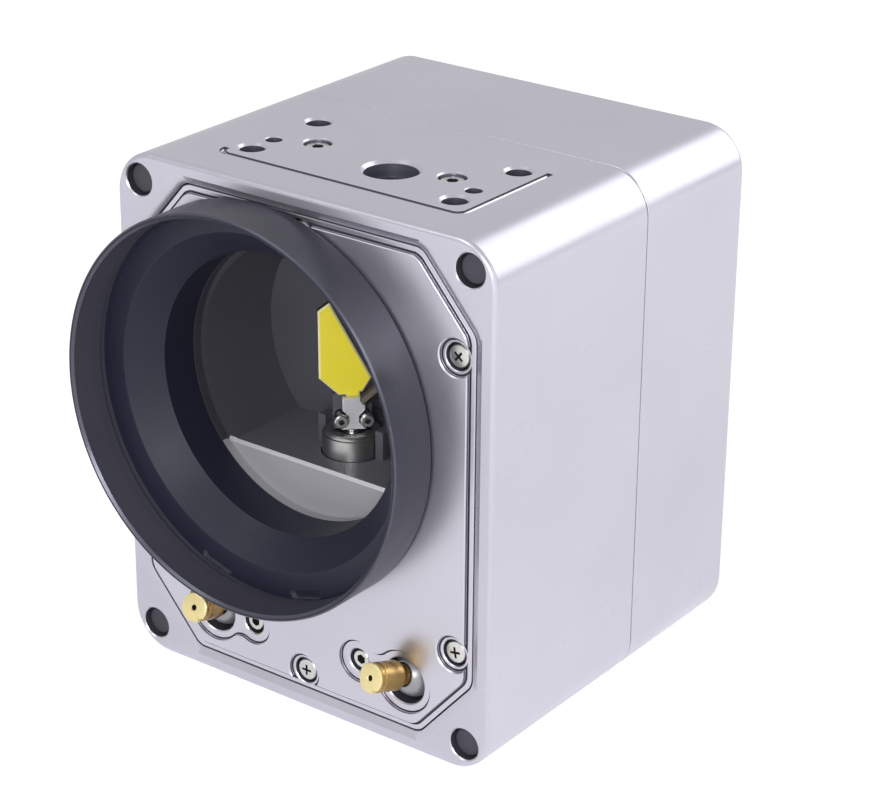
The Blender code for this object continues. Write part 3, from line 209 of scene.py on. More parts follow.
def makePiece(name, form, finishNames, replaced=(), where=None, body="head", sharp=34.0):
    bmesh.ops.remove_doubles(form, verts=form.verts, dist=weld)
    bmesh.ops.dissolve_degenerate(form, dist=weld, edges=form.edges)
    bmesh.ops.recalc_face_normals(form, faces=form.faces)
    bmesh.ops.transform(form, matrix=where or onFace(), verts=form.verts)
    mesh = bpy.data.meshes.new(name)
    form.to_mesh(mesh)
    form.free()
    mesh.shade_smooth()
    mesh.set_sharp_from_angle(angle=radians(sharp))
    for finishName in finishNames:
        mesh.materials.append(finishes[finishName])
    piece = bpy.data.objects.new(name, mesh)
    bpy.context.collection.objects.link(piece)
    shading = piece.modifiers.new("evenShading", "WEIGHTED_NORMAL")
    shading.keep_sharp = True
    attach(piece, body)
    if replaced:
        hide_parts(*replaced)


# effects that several finishes share

def setInputs(node, values):
    for label, value in values.items():
        node.inputs[label].default_value = value
    return node


def effectGroup(name, inputs, outputs):
    tree = bpy.data.node_groups.new(name, "ShaderNodeTree")
    for label, value in inputs.items():
        kind = "NodeSocketVector" if isinstance(value, tuple) else "NodeSocketFloat"
        tree.interface.new_socket(label, in_out="INPUT", socket_type=kind).default_value = value
    for label in outputs:
        tree.interface.new_socket(label, in_out="OUTPUT", socket_type="NodeSocketFloat")
    return tree, tree.nodes.new("NodeGroupInput"), tree.nodes.new("NodeGroupOutput")


def mathNode(tree, operation, first, second):
    node = tree.nodes.new("ShaderNodeMath")
    node.operation = operation
    for socket, value in zip(node.inputs, (first, second)):
        if isinstance(value, (int, float)):
            socket.default_value = value
        else:
            tree.links.new(value, socket)
    return node.outputs[0]


def weighedSum(tree, first, share, second, otherShare):
    return mathNode(tree, "ADD", mathNode(tree, "MULTIPLY", first, share),
                    mathNode(tree, "MULTIPLY", second, otherShare))


def noiseNode(tree, place, scale, values):
    noise = setInputs(tree.nodes.new("ShaderNodeTexNoise"), values)
    tree.links.new(place, noise.inputs["Vector"])
    tree.links.new(scale, noise.inputs["Scale"])
    return noise


def blastedGrain():
    # fine blasted grain with a slow change of tone
    tree, start, end = effectGroup("blastedGrain", {"Scale": 4000.0, "Broad": 30.0}, ("Tone", "Height"))
    place = tree.nodes.new("ShaderNodeTexCoord").outputs["Object"]
    fine = noiseNode(tree, place, start.outputs["Scale"], {"Detail": 3.0, "Roughness": 0.6}).outputs["Fac"]
    slow = noiseNode(tree, place, start.outputs["Broad"], {"Detail": 2.0, "Roughness": 0.6}).outputs["Fac"]
    tree.links.new(weighedSum(tree, fine, 0.45, slow, 0.55), end.inputs["Tone"])
    tree.links.new(fine, end.inputs["Height"])
    return tree


def turningMarks():
    # fine rings left by a lathe round the local Z axis
    tree, start, end = effectGroup("turningMarks", {"Place": (0.0, 0.0, 0.0), "Scale": 9000.0}, ("Marks",))
    split = tree.nodes.new("ShaderNodeSeparateXYZ")
    tree.links.new(start.outputs["Place"], split.inputs[0])
    square = [mathNode(tree, "MULTIPLY", split.outputs[k], split.outputs[k]) for k in (0, 1)]
    radius = mathNode(tree, "SQRT", mathNode(tree, "ADD", *square), 0.0)
    join = tree.nodes.new("ShaderNodeCombineXYZ")
    tree.links.new(radius, join.inputs[0])
    tree.links.new(split.outputs[2], join.inputs[1])
    noise = noiseNode(tree, join.outputs[0], start.outputs["Scale"], {"Detail": 2.0})
    noise.noise_dimensions = "2D"
    tree.links.new(noise.outputs["Fac"], end.inputs["Marks"])
    return tree


def handledSmudges():
    # soft patches where a surface was wiped or handled
    inputs = {"Scale": 60.0, "Low": 0.35, "High": 0.45}
    tree, start, end = effectGroup("handledSmudges", inputs, ("Roughness",))
    place = tree.nodes.new("ShaderNodeTexCoord").outputs["Object"]
    noise = noiseNode(tree, place, start.outputs["Scale"], {"Detail": 5.0, "Distortion": 0.6})
    spread = setInputs(tree.nodes.new("ShaderNodeMapRange"), {"From Min": 0.3, "From Max": 0.7})
    tree.links.new(noise.outputs["Fac"], spread.inputs["Value"])
    tree.links.new(start.outputs["Low"], spread.inputs["To Min"])
    tree.links.new(start.outputs["High"], spread.inputs["To Max"])
    tree.links.new(spread.outputs[0], end.inputs["Roughness"])
    return tree


effects = {"grain": blastedGrain(), "turning": turningMarks(), "smudges": handledSmudges()}
print("effects ready")

lensAxis = {"Location": (-lensX * mm, -beamZ * mm, 0.0), "Rotation": (-pi / 2, 0.0, 0.0)}     # to local Z


def placeEffect(tree, name, values):
    node = tree.nodes.new("ShaderNodeGroup")
    node.node_tree = effects[name]
    return setInputs(node, values)


def surfaceFinish(name, values):
    # a Principled finish with a tone, patches of roughness and a fine relief, and marks where it is turned
    material = bpy.data.materials.new(name)
    material.use_nodes = True
    tree = material.node_tree
    shader = setInputs(tree.nodes["Principled BSDF"], {
        "Metallic": values["metallic"], "Coat Weight": values.get("coat", 0.0), "Coat Roughness": 0.1,
        "Specular IOR Level": values.get("specular", 0.5)})
    grain = placeEffect(tree, "grain", {"Scale": values["grain"], "Broad": values.get("broad", 30.0)})
    tone, height = grain.outputs["Tone"], grain.outputs["Height"]
    if "turning" in values:
        spot = tree.nodes.new("ShaderNodeTexCoord")
        centre = setInputs(tree.nodes.new("ShaderNodeMapping"), lensAxis)
        tree.links.new(spot.outputs["Object"], centre.inputs["Vector"])
        turning = placeEffect(tree, "turning", {"Scale": values["turning"]})
        tree.links.new(centre.outputs[0], turning.inputs["Place"])
        height = turning.outputs["Marks"]
        tone = weighedSum(tree, tone, 0.4, height, 0.6)
    ramp = tree.nodes.new("ShaderNodeValToRGB")
    for stop, position, tint in zip(ramp.color_ramp.elements, (0.32, 0.68), ("dark", "light")):
        stop.position = position
        stop.color = (*values[tint], 1.0)
    tree.links.new(tone, ramp.inputs["Fac"])
    tree.links.new(ramp.outputs["Color"], shader.inputs["Base Color"])
    low, high = values["rough"]
    smudges = placeEffect(tree, "smudges", {"Scale": 60.0, "Low": low, "High": high})
    tree.links.new(smudges.outputs["Roughness"], shader.inputs["Roughness"])
    bump = setInputs(tree.nodes.new("ShaderNodeBump"), {"Strength": values["relief"], "Distance": 0.00005})
    tree.links.new(height, bump.inputs["Height"])
    tree.links.new(bump.outputs["Normal"], shader.inputs["Normal"])
    return material


def look(light, dark, metallic, rough, grain, relief, **more):
    # light and dark tone, metallic, lowest and highest roughness, the grain's scale, the relief's strength
    return {"light": light, "dark": dark, "metallic": metallic, "rough": rough, "grain": grain,
            "relief": relief, **more}


finishLooks = {
    "painted": look((0.60, 0.59, 0.665), (0.55, 0.54, 0.615), 0.8, (0.26, 0.33), 5200.0, 0.16, broad=22.0),
    "plate": look((0.645, 0.635, 0.71), (0.60, 0.59, 0.665), 0.93, (0.30, 0.36), 5200.0, 0.14, broad=22.0),
    "ringTurned": look((0.020, 0.021, 0.042), (0.012, 0.013, 0.028), 0.0, (0.44, 0.52), 4200.0, 0.14,
                       specular=0.35, turning=5200.0),
    # ringOuterPaintedLight: the outer wall, a little lighter than the rest of the ring as painted light from
    # above
    "ringOuterPaintedLight": look((0.034, 0.034, 0.054), (0.024, 0.024, 0.040), 0.1, (0.34, 0.42), 4200.0, 0.14,
                      specular=0.6, turning=5200.0),
    # ringWallPaintedLight: the threaded inner wall, rougher, and lighter than the rest of the ring as painted
    # light
    "ringWallPaintedLight": look((0.088, 0.086, 0.115), (0.056, 0.056, 0.080), 0.0, (0.40, 0.52), 4200.0, 0.3,
                     turning=5200.0),
    # ringEdgeHighlight: a lighter copy of the ring's black on the rim's bevels, a painted highlight
    "ringEdgeHighlight": look((0.10, 0.10, 0.135), (0.07, 0.07, 0.10), 0.5, (0.26, 0.36), 4200.0, 0.12),
    "mount": look((0.095, 0.095, 0.115), (0.080, 0.080, 0.098), 0.1, (0.42, 0.54), 3600.0, 0.25),
    # shelf and ledge: lighter copies of the mount's dark finish, painted light on the ledge's top and front,
    # where light falls through the bore
    "shelf": look((0.16, 0.16, 0.19), (0.14, 0.14, 0.165), 0.1, (0.42, 0.54), 3600.0, 0.25),
    "ledge": look((0.42, 0.42, 0.45), (0.36, 0.36, 0.39), 0.1, (0.40, 0.50), 3600.0, 0.25),
    # groove: painted shade, a dark finish for the walls of grooves and holes and for the mount's opening
    "groove": look((0.050, 0.050, 0.066), (0.032, 0.032, 0.044), 0.0, (0.5, 0.7), 3000.0, 0.2),
    # recess: painted shade inside the screws' crosses and sockets and the pointers' eye holes
    "recess": look((0.030, 0.030, 0.036), (0.014, 0.014, 0.018), 0.2, (0.5, 0.7), 3000.0, 0.2),
    # bareShadeAndGlint: bare metal, darker than the paint as painted shade in the top holes; on the lens
    # ring, lighter than its black as a painted highlight on the key slots and the seat's edge
    "bareShadeAndGlint": look((0.20, 0.20, 0.25), (0.14, 0.14, 0.18), 0.6, (0.30, 0.42), 3800.0, 0.3),
    "steel": look((0.74, 0.73, 0.71), (0.60, 0.59, 0.58), 1.0, (0.26, 0.36), 3000.0, 0.12),
    "motorSteel": look((0.56, 0.555, 0.545), (0.43, 0.425, 0.42), 1.0, (0.30, 0.40), 3000.0, 0.12),
    # nickelAndLedgeGlint: the clamps' and jack posts' nickel, and a painted glint on the ledge's front edge
    "nickelAndLedgeGlint": look((0.72, 0.72, 0.76), (0.64, 0.64, 0.68), 0.35, (0.34, 0.44), 3400.0, 0.12),
    "plug": look((0.058, 0.056, 0.074), (0.042, 0.040, 0.055), 0.0, (0.45, 0.6), 2600.0, 0.35),
    "ball": look((0.38, 0.38, 0.41), (0.30, 0.30, 0.33), 0.4, (0.28, 0.38), 3000.0, 0.12),
    # brassTipHighlight: a lighter brass on the barrel's tip face, a painted highlight against the browner
    # sides
    "brassTipHighlight": look((0.92, 0.80, 0.42), (0.84, 0.70, 0.33), 0.45, (0.30, 0.42), 3000.0, 0.15),
    "brass": look((0.54, 0.36, 0.12), (0.34, 0.20, 0.06), 0.85, (0.24, 0.38), 3000.0, 0.18),
    "coating": look((0.97, 0.84, 0.065), (0.95, 0.80, 0.055), 0.0, (0.22, 0.30), 900.0, 0.02, specular=0.3),
    # glassEdgeHighlight: pale cream on the y mirror's bevel, a painted highlight; glassSide: dark glass
    # sides, darker still as painted shade
    "glassEdgeHighlight": look((0.95, 0.90, 0.55), (0.90, 0.84, 0.45), 0.0, (0.25, 0.35), 2400.0, 0.10),
    "glassSide": look((0.10, 0.08, 0.05), (0.05, 0.04, 0.03), 0.0, (0.25, 0.35), 2400.0, 0.10),
    "rubber": look((0.026, 0.026, 0.026), (0.014, 0.014, 0.014), 0.0, (0.75, 0.9), 1800.0, 0.4),
    "copper": look((0.60, 0.26, 0.10), (0.34, 0.12, 0.04), 0.8, (0.3, 0.45), 2600.0, 0.4),
    "magnet": look((0.22, 0.22, 0.235), (0.15, 0.15, 0.16), 0.9, (0.3, 0.45), 2600.0, 0.15),
    "plastic": look((0.034, 0.034, 0.036), (0.020, 0.020, 0.022), 0.0, (0.42, 0.58), 3000.0, 0.3),
    "board": look((0.020, 0.145, 0.062), (0.010, 0.080, 0.034), 0.0, (0.28, 0.40), 520.0, 0.3,
                  broad=240.0, coat=0.3),
}
finishes = {name: surfaceFinish(name + "Finish", values) for name, values in finishLooks.items()}
print("finishes ready")


# the housing: front half, rear half

housing = {"width": 97.0, "height": 116.0, "depth": 91.0, "corner": 9.7, "frontRound": 1.1, "backRound": 2.2,
           "seam": 52.6, "seamEdge": 0.3, "sideWall": 5.2, "topWall": 12.0, "backWall": 4.5,
           "sealOut": 2.6, "sealIn": 1.0, "sealDeep": 1.4,
           "plugHole": 3.5, "plugHoleDepth": 12.0, "plugInset": 6.2, "longScrew": 1.6}
cover = {"side": 4.7, "end": 4.3, "cutX": 13.4, "cutZ": 15.5, "corner": 1.45, "thick": 8.0, "step": 0.8,
         "bevel": 1.6, "pad": 1.9, "notch": 4.0, "ledge": 2.6, "ledgeDepth": 12.0, "screwBoss": 4.6,
         "screwHole": 2.95}
coverScrews = ((-39.1, 26.1), (39.1, 26.1), (39.1, 91.1), (0.0, 8.5), (0.0, 107.5))
coverWall = cover["side"] - housing["sideWall"]     # from the plate's outline to the housing's inner walls
ring = {"outer": 43.7, "reach": 12.0, "thread": 42.4, "relief": 42.9, "reliefWidth": 1.2, "floor": 2.0,
        "cone": 37.0, "coneDepth": 4.4, "bore": 31.2, "hub": 36.9, "hubDepth": 5.0, "sleeve": 32.2,
        "sleeveDepth": 13.5, "edge": 0.35, "seat": 41.75, "slotRadius": 41.65, "slot": (7.5, 1.8, 1.2),
        "slotAngle": 17.0}


def coverCorners(offset=0.0, top=None):
    # the cut-cornered outline of the front plate, moved outwards
    half = housing["width"] / 2 - cover["side"] + offset
    low = cover["end"] - offset
    high = housing["height"] - low if top is None else top
    slant = atan2(cover["cutX"], cover["cutZ"])
    cutX = cover["cutX"] + offset * (1 - tan(pi / 4 - slant / 2))
    cutZ = cover["cutZ"] + offset * (1 - tan(slant / 2))
    return [(-half + cutX, low), (half - cutX, low), (half, low + cutZ), (half, high - cutZ),
            (half - cutX, high), (-half + cutX, high), (-half, high - cutZ), (-half, low + cutZ)]


def coverForm(offset, low, high, top=None, **eased):
    return plateForm(coverCorners(offset, top), low, high, cover["corner"], 6, **eased)


def cornerSpots():
    inset = housing["plugInset"]
    side = housing["width"] / 2 - inset
    return [(x, z) for x in (-side, side) for z in (inset, housing["height"] - inset)]


def hubTool(clearance, end, steps=96):
    # what the ring's hub and sleeve need
    slope = (ring["hub"] - ring["sleeve"]) / (ring["hubDepth"] + gap)
    radius = ring["sleeve"] + clearance
    profile = [(0, 1), (ring["hub"] + clearance + slope * 0.7, 1),
               (radius, -ring["hubDepth"] - clearance * 0.3), (radius, end), (0, end)]
    return shifted(turnedForm(profile, steps), lensX, beamZ)


def openTop(tool, level, rise):
    # draws a tool's rim up from a level, leaves it open there and gives back the rim's corners
    top = [face for face in tool.faces if middle(face).z > level - 0.001]
    raised = pulledOut(tool, top, rise)
    bmesh.ops.delete(tool, geom=top, context="FACES_KEEP_BOUNDARY")
    return raised


# each spot is X and depth; the sizes are what drill takes
topHoles = {
    "tapped": {"spots": ((-25.5, 16.4), (-25.5, 38.0), (26.5, 16.4), (26.5, 38.0)),
               "sizes": (2.7, 0, -9.0, 0.55, 48)},
    "dowels": {"spots": ((-25.3, 23.1), (26.2, 23.1)), "sizes": (1.8, 0, -7.0, 0.2, 40)},
    "screws": {"spots": ((-16.8, 27.1), (18.0, 27.1)), "sizes": (3.0, 0, -14, 0.35, 48, ((1.8, -3.8),))},
    "beam": {"spots": (shafts["x"],), "sizes": (5.7, 0, -14, 0.7, 64, ((5.0, -3.5),))},
}
topGroove = {"left": -29.5, "right": 32.5, "near": 10.2, "far": 40.6, "corner": 2.6, "radius": 0.75,
             "lift": 0.05}


def grooveTool():
    # a round cutter swept along the engraved line
    left, right, near, corner = [topGroove[label] for label in ("left", "right", "near", "corner")]
    path = bpy.data.curves.new("groovePath", "CURVE")
    path.dimensions = "3D"
    path.bevel_depth = topGroove["radius"]
    path.bevel_resolution = 3
    path.use_fill_caps = True
    line = path.splines.new("POLY")
    turns = [pi / 2 * k / 8 for k in range(9)]
    points = [(left, near + corner + 0.4)]
    points += [(left + corner - corner * cos(t), near + corner - corner * sin(t)) for t in turns]
    points += [(right - corner + corner * sin(t), near + corner - corner * cos(t)) for t in turns]
    points.append((right, topGroove["far"]))
    line.points.add(len(points) - 1)
    for point, (x, depth) in zip(line.points, points):
        point.co = (x, housing["height"] + topGroove["lift"], -depth, 1.0)
    spare = bpy.data.objects.new("spare", path)
    bpy.context.collection.objects.link(spare)
    graph = bpy.context.evaluated_depsgraph_get()
    form = bmesh.new()
    form.from_mesh(spare.evaluated_get(graph).to_mesh())
    bpy.data.objects.remove(spare, do_unlink=True)
    bmesh.ops.remove_doubles(form, verts=form.verts, dist=0.001)
    bmesh.ops.recalc_face_normals(form, faces=form.faces)
    # painted shade: the walls that face the front and the right take a dark finish
    return painted(form, 1, lambda face: face.normal.z < -0.6 or face.normal.x < -0.6)


def coverRecess():
    # the front plate's seat, which widens in a bevel towards the front face
    tool = coverForm(0.0, -cover["thick"] - gap, -cover["step"])
    raised = openTop(tool, -cover["step"], cover["step"] + 0.5)
    reach = cover["bevel"] + 1.0
    half, high = housing["width"] / 2, housing["height"] / 2
    spread = Matrix.Diagonal((1 + reach / (half - cover["side"]), 1 + reach / (high - cover["end"]), 1, 1))
    spread = Matrix.Translation((0, high, 0)) @ spread @ Matrix.Translation((0, -high, 0))
    bmesh.ops.transform(tool, matrix=spread, verts=raised)
    bmesh.ops.recalc_face_normals(tool, faces=tool.faces)
    return tool


def housingFront():
    half, high, seam = housing["width"] / 2, housing["height"], housing["seam"]
    form = plateForm(rectangle(-half, 0, half, high), -seam, 0.0, housing["corner"], 16,
                     housing["frontRound"], housing["seamEdge"], 4)
    form = carved(form, [coverRecess()])
    window = coverForm(-cover["ledge"], -cover["ledgeDepth"] - 1.0, -cover["thick"])
    window = carved(window, drills(coverScrews, cover["screwBoss"], 0.0, -14.0, steps=32))
    form = carved(form, [window])
    form = carved(form, [coverForm(coverWall, -seam - 1.0, -cover["ledgeDepth"], high - housing["topWall"])])
    form = carved(form, [hubTool(2 * gap, -ring["sleeveDepth"] - gap)])
    sealOuter = coverForm(coverWall + housing["sealOut"], -seam - 1.0, -seam + housing["sealDeep"])
    sealInner = coverForm(coverWall + housing["sealIn"], -seam - 2.0, -seam + 3.0)
    form = carved(form, [carved(sealOuter, [sealInner])])
    screwHole = ((housing["longScrew"] + gap, -housing["plugHoleDepth"]),)
    # painted shade: the corner holes' walls take a dark finish
    holes = [shifted(holeWallShade(drill(housing["plugHole"], 0.0, -seam - 1.0, 0.25, 48, screwHole)), x, z)
             for x, z in cornerSpots()]
    holes += drills(coverScrews, 1.6, -7.0, -12.5, steps=20)
    # the top holes' walls take a darker finish than the paint, partly bare metal and partly painted shade
    for hole in topHoles.values():
        for x, depth in hole["spots"]:
            holes.append(shifted(holeWallShade(drill(*hole["sizes"]), -0.75, 2), x, high, -depth, lidUp))
    form = carved(form, holes)
    form = carved(form, [grooveTool()])
    makePiece("housingFrontHalf", form, ("painted", "groove", "bareShadeAndGlint"), ("front_housing",),
              sharp=24)


rear = {"posts": ((-32, 16), (-32, 51), (32, 16), (32, 51)), "postRadius": 2.2, "postHigh": 3.5,
        "signal": ((-18.7, -4.5), (18.7, -4.5), (20.3, 4.5), (-20.3, 4.5)), "signalCorner": 2.0,
        "signalZ": 25, "jacks": ((-23.5, 25), (23.5, 25)), "jackHole": 1.8,
        "power": ((22.0, 45.0),), "powerHole": 6.3}


def housingRear():
    half, high = housing["width"] / 2, housing["height"]
    back, front = -housing["depth"], -housing["seam"] - gap
    form = plateForm(rectangle(-half, 0, half, high), back, front, housing["corner"], 16,
                     housing["seamEdge"], housing["backRound"], 5)
    inner = back + housing["backWall"]
    form = carved(form, [coverForm(coverWall, inner, front + 1.0)])
    posts = [shifted(rodForm(rear["postRadius"], inner - 1, inner + rear["postHigh"], 24), x, z)
             for x, z in rear["posts"]]
    form = carved(form, posts, "UNION")
    form = carved(form, drills(cornerSpots(), housing["longScrew"] + gap, front, front - 12.0, steps=24))
    signal = plateForm(rear["signal"], back - 1, inner + 1, rear["signalCorner"], 6)
    openings = [shifted(signal, 0, rear["signalZ"])]
    openings += drills(rear["power"], rear["powerHole"], inner, back - 1, steps=64)
    openings += drills(rear["jacks"], rear["jackHole"], inner, back - 1, steps=24)
    form = carved(form, openings)
    makePiece("housingRearHalf", form, ("painted",), ("rear_cover",))


housingFront()
housingRear()
print("housing done")


# the front plate with its raised pad

pointers = {"right": {"hole": (26.4, 15.3), "lock": (14.7, 16.1), "lean": (-9.3, 16.4)},
            "left": {"hole": (-24.9, 15.2), "lock": (-14.2, 15.4), "lean": (5.7, 18.8)}}
pocket = {"big": 7.2, "small": 4.9, "neck": 3.0, "depth": 0.6, "hole": 5.2, "lockHole": 2.6, "lockSeat": 3.4,
          "lockShank": 1.5, "boss": 6.7, "bossBack": 9.1, "groove": (-0.50, -0.10, 0.45)}
padGrooveSizes = {"deep": 0.4, "in": 0.05, "out": 0.55, "notchOut": 3.95, "notchIn": 3.5}


def pocketOutline(spot, grow=0.0):
    # two circles whose sides meet in hollow curves
    first, second = Vector(spot["hole"]), Vector(spot["lock"])
    bigRadius, smallRadius, hollow = pocket["big"] + grow, pocket["small"] + grow, pocket["neck"] - grow
    span = (second - first).length
    a, b = bigRadius + hollow, smallRadius + hollow
    along = (a * a - b * b + span * span) / (2 * span)
    side = sqrt(a * a - along * along)
    facing = atan2(second.y - first.y, second.x - first.x)
    turnA, turnB = atan2(side, along), atan2(side, along - span)
    outline = []

    def sweep(centre, radius, start, end, count):
        for k in range(count + 1):
            angle = start + (end - start) * k / count
            outline.append((centre[0] + radius * cos(angle), centre[1] + radius * sin(angle)))

    def hollowCentre(sign):
        across = facing + sign * pi / 2
        return (first.x + along * cos(facing) + side * cos(across),
                first.y + along * sin(facing) + side * sin(across))

    sweep(first, bigRadius, facing + turnA, facing + 2 * pi - turnA, 40)
    sweep(hollowCentre(-1), hollow, facing + pi - turnA, facing + pi - turnB, 8)
    sweep(second, smallRadius, facing - turnB, facing + turnB, 28)
    sweep(hollowCentre(1), hollow, facing - pi + turnB, facing - pi + turnA, 8)
    return outline[:-1]


def discs(radius, low, high):
    return [shifted(rodForm(radius, low, high), x, z) for x, z in coverScrews]


def padGroove():
    # the narrow groove at the foot of the raised pad, which follows the notches round the screws; all its
    # faces take a dark finish, painted shade
    sizes, foot = padGrooveSizes, -cover["pad"]
    low, high = -cover["step"] - sizes["deep"], -cover["step"] + 0.2
    inside = coverForm(foot + sizes["in"], low - 1, high + 1)
    inside = carved(inside, discs(sizes["notchOut"], low - 2, high + 2))
    band = carved(coverForm(foot + sizes["out"], low, high), [inside])
    return painted(carved(band, discs(sizes["notchIn"], low - 2, high + 2)), 1, lambda face: True)


def pocketGroove(spot):
    # a narrow groove round a pocket; all its faces take a dark finish, painted shade
    inner, outer, deep = pocket["groove"]
    low, high = -pocket["depth"] - deep, -pocket["depth"] + 0.3
    core = plateForm(pocketOutline(spot, inner), low - 1, high + 1)
    band = carved(plateForm(pocketOutline(spot, outer), low, high), [core])
    return painted(band, 1, lambda face: True)


def pointerPocket(spot):
    tool = plateForm(pocketOutline(spot), -pocket["depth"], 0.0)
    openTop(tool, 0.0, 1)
    return tool


def frontPlate():
    rim = coverForm(-gap, -cover["thick"], -cover["step"], front=0.3, back=0.2, steps=2)
    rim = carved(rim, [padGroove()])
    pad = coverForm(-cover["pad"], -cover["step"] - 1.0, 0.0, front=0.28)
    form = carved(rim, [carved(pad, drills(coverScrews, cover["notch"], 0.0, -4.0, 0.25, 48))], "UNION")
    spots = [spot["hole"] for spot in pointers.values()]
    form = carved(form, drills(spots, pocket["boss"], -6.0, -pocket["bossBack"], steps=48), "UNION")
    form = carved(form, [hubTool(gap, -10.0, 128)])
    form = carved(form, [pointerPocket(spot) for spot in pointers.values()])
    form = carved(form, [pocketGroove(spot) for spot in pointers.values()])
    # painted shade: the walls of the screw, ball and lock holes take a dark finish
    holes = drills(coverScrews, cover["screwHole"], -cover["step"], -10, 0.2, 48, ((1.6, -3.2),))
    holes = [holeWallShade(hole, -1.2) for hole in holes]
    top, lockStep = -pocket["depth"], ((pocket["lockShank"], -pocket["lockSeat"]),)
    for spot in pointers.values():
        ballHole = holeWallShade(drill(pocket["hole"], top, -12, 0.25, 64), -1.2)
        lockHole = holeWallShade(drill(pocket["lockHole"], top, -10, 0.25, 48, lockStep), -1.0)
        holes += [shifted(ballHole, *spot["hole"]), shifted(lockHole, *spot["lock"])]
    form = carved(form, holes)
    makePiece("frontPlate", form, ("plate", "groove"), ("front_cover",))


frontPlate()
print("front plate done")


# the lens ring, turned in one piece

def ringProfile():
    outer, edge, reach = ring["outer"], ring["edge"], ring["reach"]
    floor, shelf = ring["floor"], ring["floor"] + ring["reliefWidth"]
    front = [(ring["thread"] + 0.5, reach), (outer - edge, reach), (outer, reach - edge),
             (outer, gap + edge), (outer - edge, gap)]
    sleeve = [(ring["hub"], gap), (ring["sleeve"], -ring["hubDepth"]), (ring["sleeve"], -ring["sleeveDepth"]),
              (ring["bore"], -ring["sleeveDepth"]), (ring["bore"], -ring["coneDepth"])]
    seat = [(ring["cone"] - 0.15, floor - 0.15), (ring["cone"] + 0.15, floor), (ring["seat"] - 0.2, floor),
            (ring["seat"], floor - 0.2), (ring["relief"], floor - 0.2), (ring["relief"], shelf)]
    thread = [(ring["thread"], shelf + 0.4), (ring["thread"], reach - 0.5)]
    return front + sleeve + seat + thread


def keySlot(sign):
    # a round-ended slot in the seat, whose open end flares
    (long, wide, deep), floor = ring["slot"], ring["floor"]
    outline = rectangle(-long / 2, -wide / 2, long / 2, wide / 2)
    tool = plateForm(outline, floor - deep, floor + 1.0, wide * 0.49, 8)
    for vert in tool.verts:
        if vert.co.z > floor:
            vert.co.xy *= 1.0 + 0.9 / vert.co.xy.length
    # painted highlight: the slot's walls and flared mouth take a lighter finish than the ring's black
    painted(tool, 4, lambda face: abs(face.normal.z) < 0.9)
    turn = -pi / 2 + sign * radians(ring["slotAngle"])
    return shifted(tool, ring["slotRadius"] * cos(turn), ring["slotRadius"] * sin(turn), 0,
                   Matrix.Rotation(turn + pi / 2, 4, "Z"))


def lensRing():
    form = carved(turnedForm(ringProfile(), 192, closed=True), [keySlot(sign) for sign in (-1, 1)])

    def slanted(face):
        return 0.2 < abs(face.normal.z) < 0.98

    def standing(face, low, high=100.0):
        return abs(face.normal.z) < 0.1 and low < middle(face).xy.length < high

    lip = ring["reach"] - 0.7
    # painted highlight: the rim's bevels are lighter
    painted(form, 1, lambda face: slanted(face) and middle(face).z > lip)
    # painted highlight: the seat's edge bevel is lighter
    painted(form, 4, lambda face: slanted(face) and face.material_index == 0
            and ring["seat"] - 0.3 < middle(face).xy.length < ring["seat"] + 0.1)
    # painted light: the threaded wall is lighter
    painted(form, 2, lambda face: standing(face, ring["thread"] - 0.3, ring["relief"] + 0.1)
            and ring["floor"] < middle(face).z < lip)
    # painted light: the outer wall is a little lighter
    painted(form, 3, lambda face: standing(face, ring["outer"] - 0.2))
    makePiece("lensRing", form, ("ringTurned", "ringEdgeHighlight", "ringWallPaintedLight", "ringOuterPaintedLight", "bareShadeAndGlint"),
              ("lens_ring",), onFace(lensX, beamZ))


lensRing()
print("lens ring done")


# screws and plugs of the front

def crossTools(wide, long, deep, top):
    tools = []
    for turn in (0.0, pi / 2):
        bar = barForm((long, wide, deep + 1.0), (0, 0, top + 0.5 - deep / 2))
        low = [v for v in bar.verts if v.co.z < top]
        bmesh.ops.scale(bar, vec=(0.45, 0.7, 1.0), verts=low)
        tools.append(shifted(bar, turn=Matrix.Rotation(turn, 4, "Z")))
    return tools


def crossScrew(head, height, shank, length):
    crown = 0.12
    form = turnedForm([(0, crown), (head * 0.55, 0.08), (head * 0.86, -0.12), (head, -0.55), (head, -height),
                       (shank, -height), (shank, -length + 0.5), (shank - 0.5, -length), (0, -length)], 48)
    for tool in crossTools(0.62, head * 1.25, 1.3, crown):
        form = carved(form, [tool])
    # painted shade: the cross recess takes a dark finish
    return painted(form, 1, lambda face: -1.35 < middle(face).z < 0.02
                   and middle(face).xy.length < head * 0.6)


def socketScrew(head, height, shank, length, socket, deep, steps=48):
    form = turnedForm([(0, 0), (head - 0.25, 0), (head, -0.25), (head, -height), (shank, -height),
                       (shank, -length), (0, -length)], steps)
    tool = bmesh.new()
    bmesh.ops.create_cone(tool, cap_ends=True, segments=6, radius1=socket * 0.97, radius2=socket,
                          depth=deep + 1.0)
    form = carved(form, [shifted(tool, z=0.5 - deep / 2)])
    # painted shade: the socket takes a dark finish
    return painted(form, 1, lambda face: -deep - 0.05 < middle(face).z < -0.02
                   and middle(face).xy.length < socket * 0.98)


def screwPiece(name, form, node, where, body="head"):
    makePiece(name, form, ("steel", "recess"), (node,) if node else (), where, body)


mountScrewHead = 115.2      # how high the heads of the mount's screws reach
jackProfile = [(0, 5.0), (1.2, 5.0), (1.2, 4.0), (1.2, 0.9), (1.5, 0.6), (2.4, 0.6), (2.75, 0.9), (2.75, 5.4),
               (0.9, 5.4), (0.9, 13.0), (0, 13.0)]

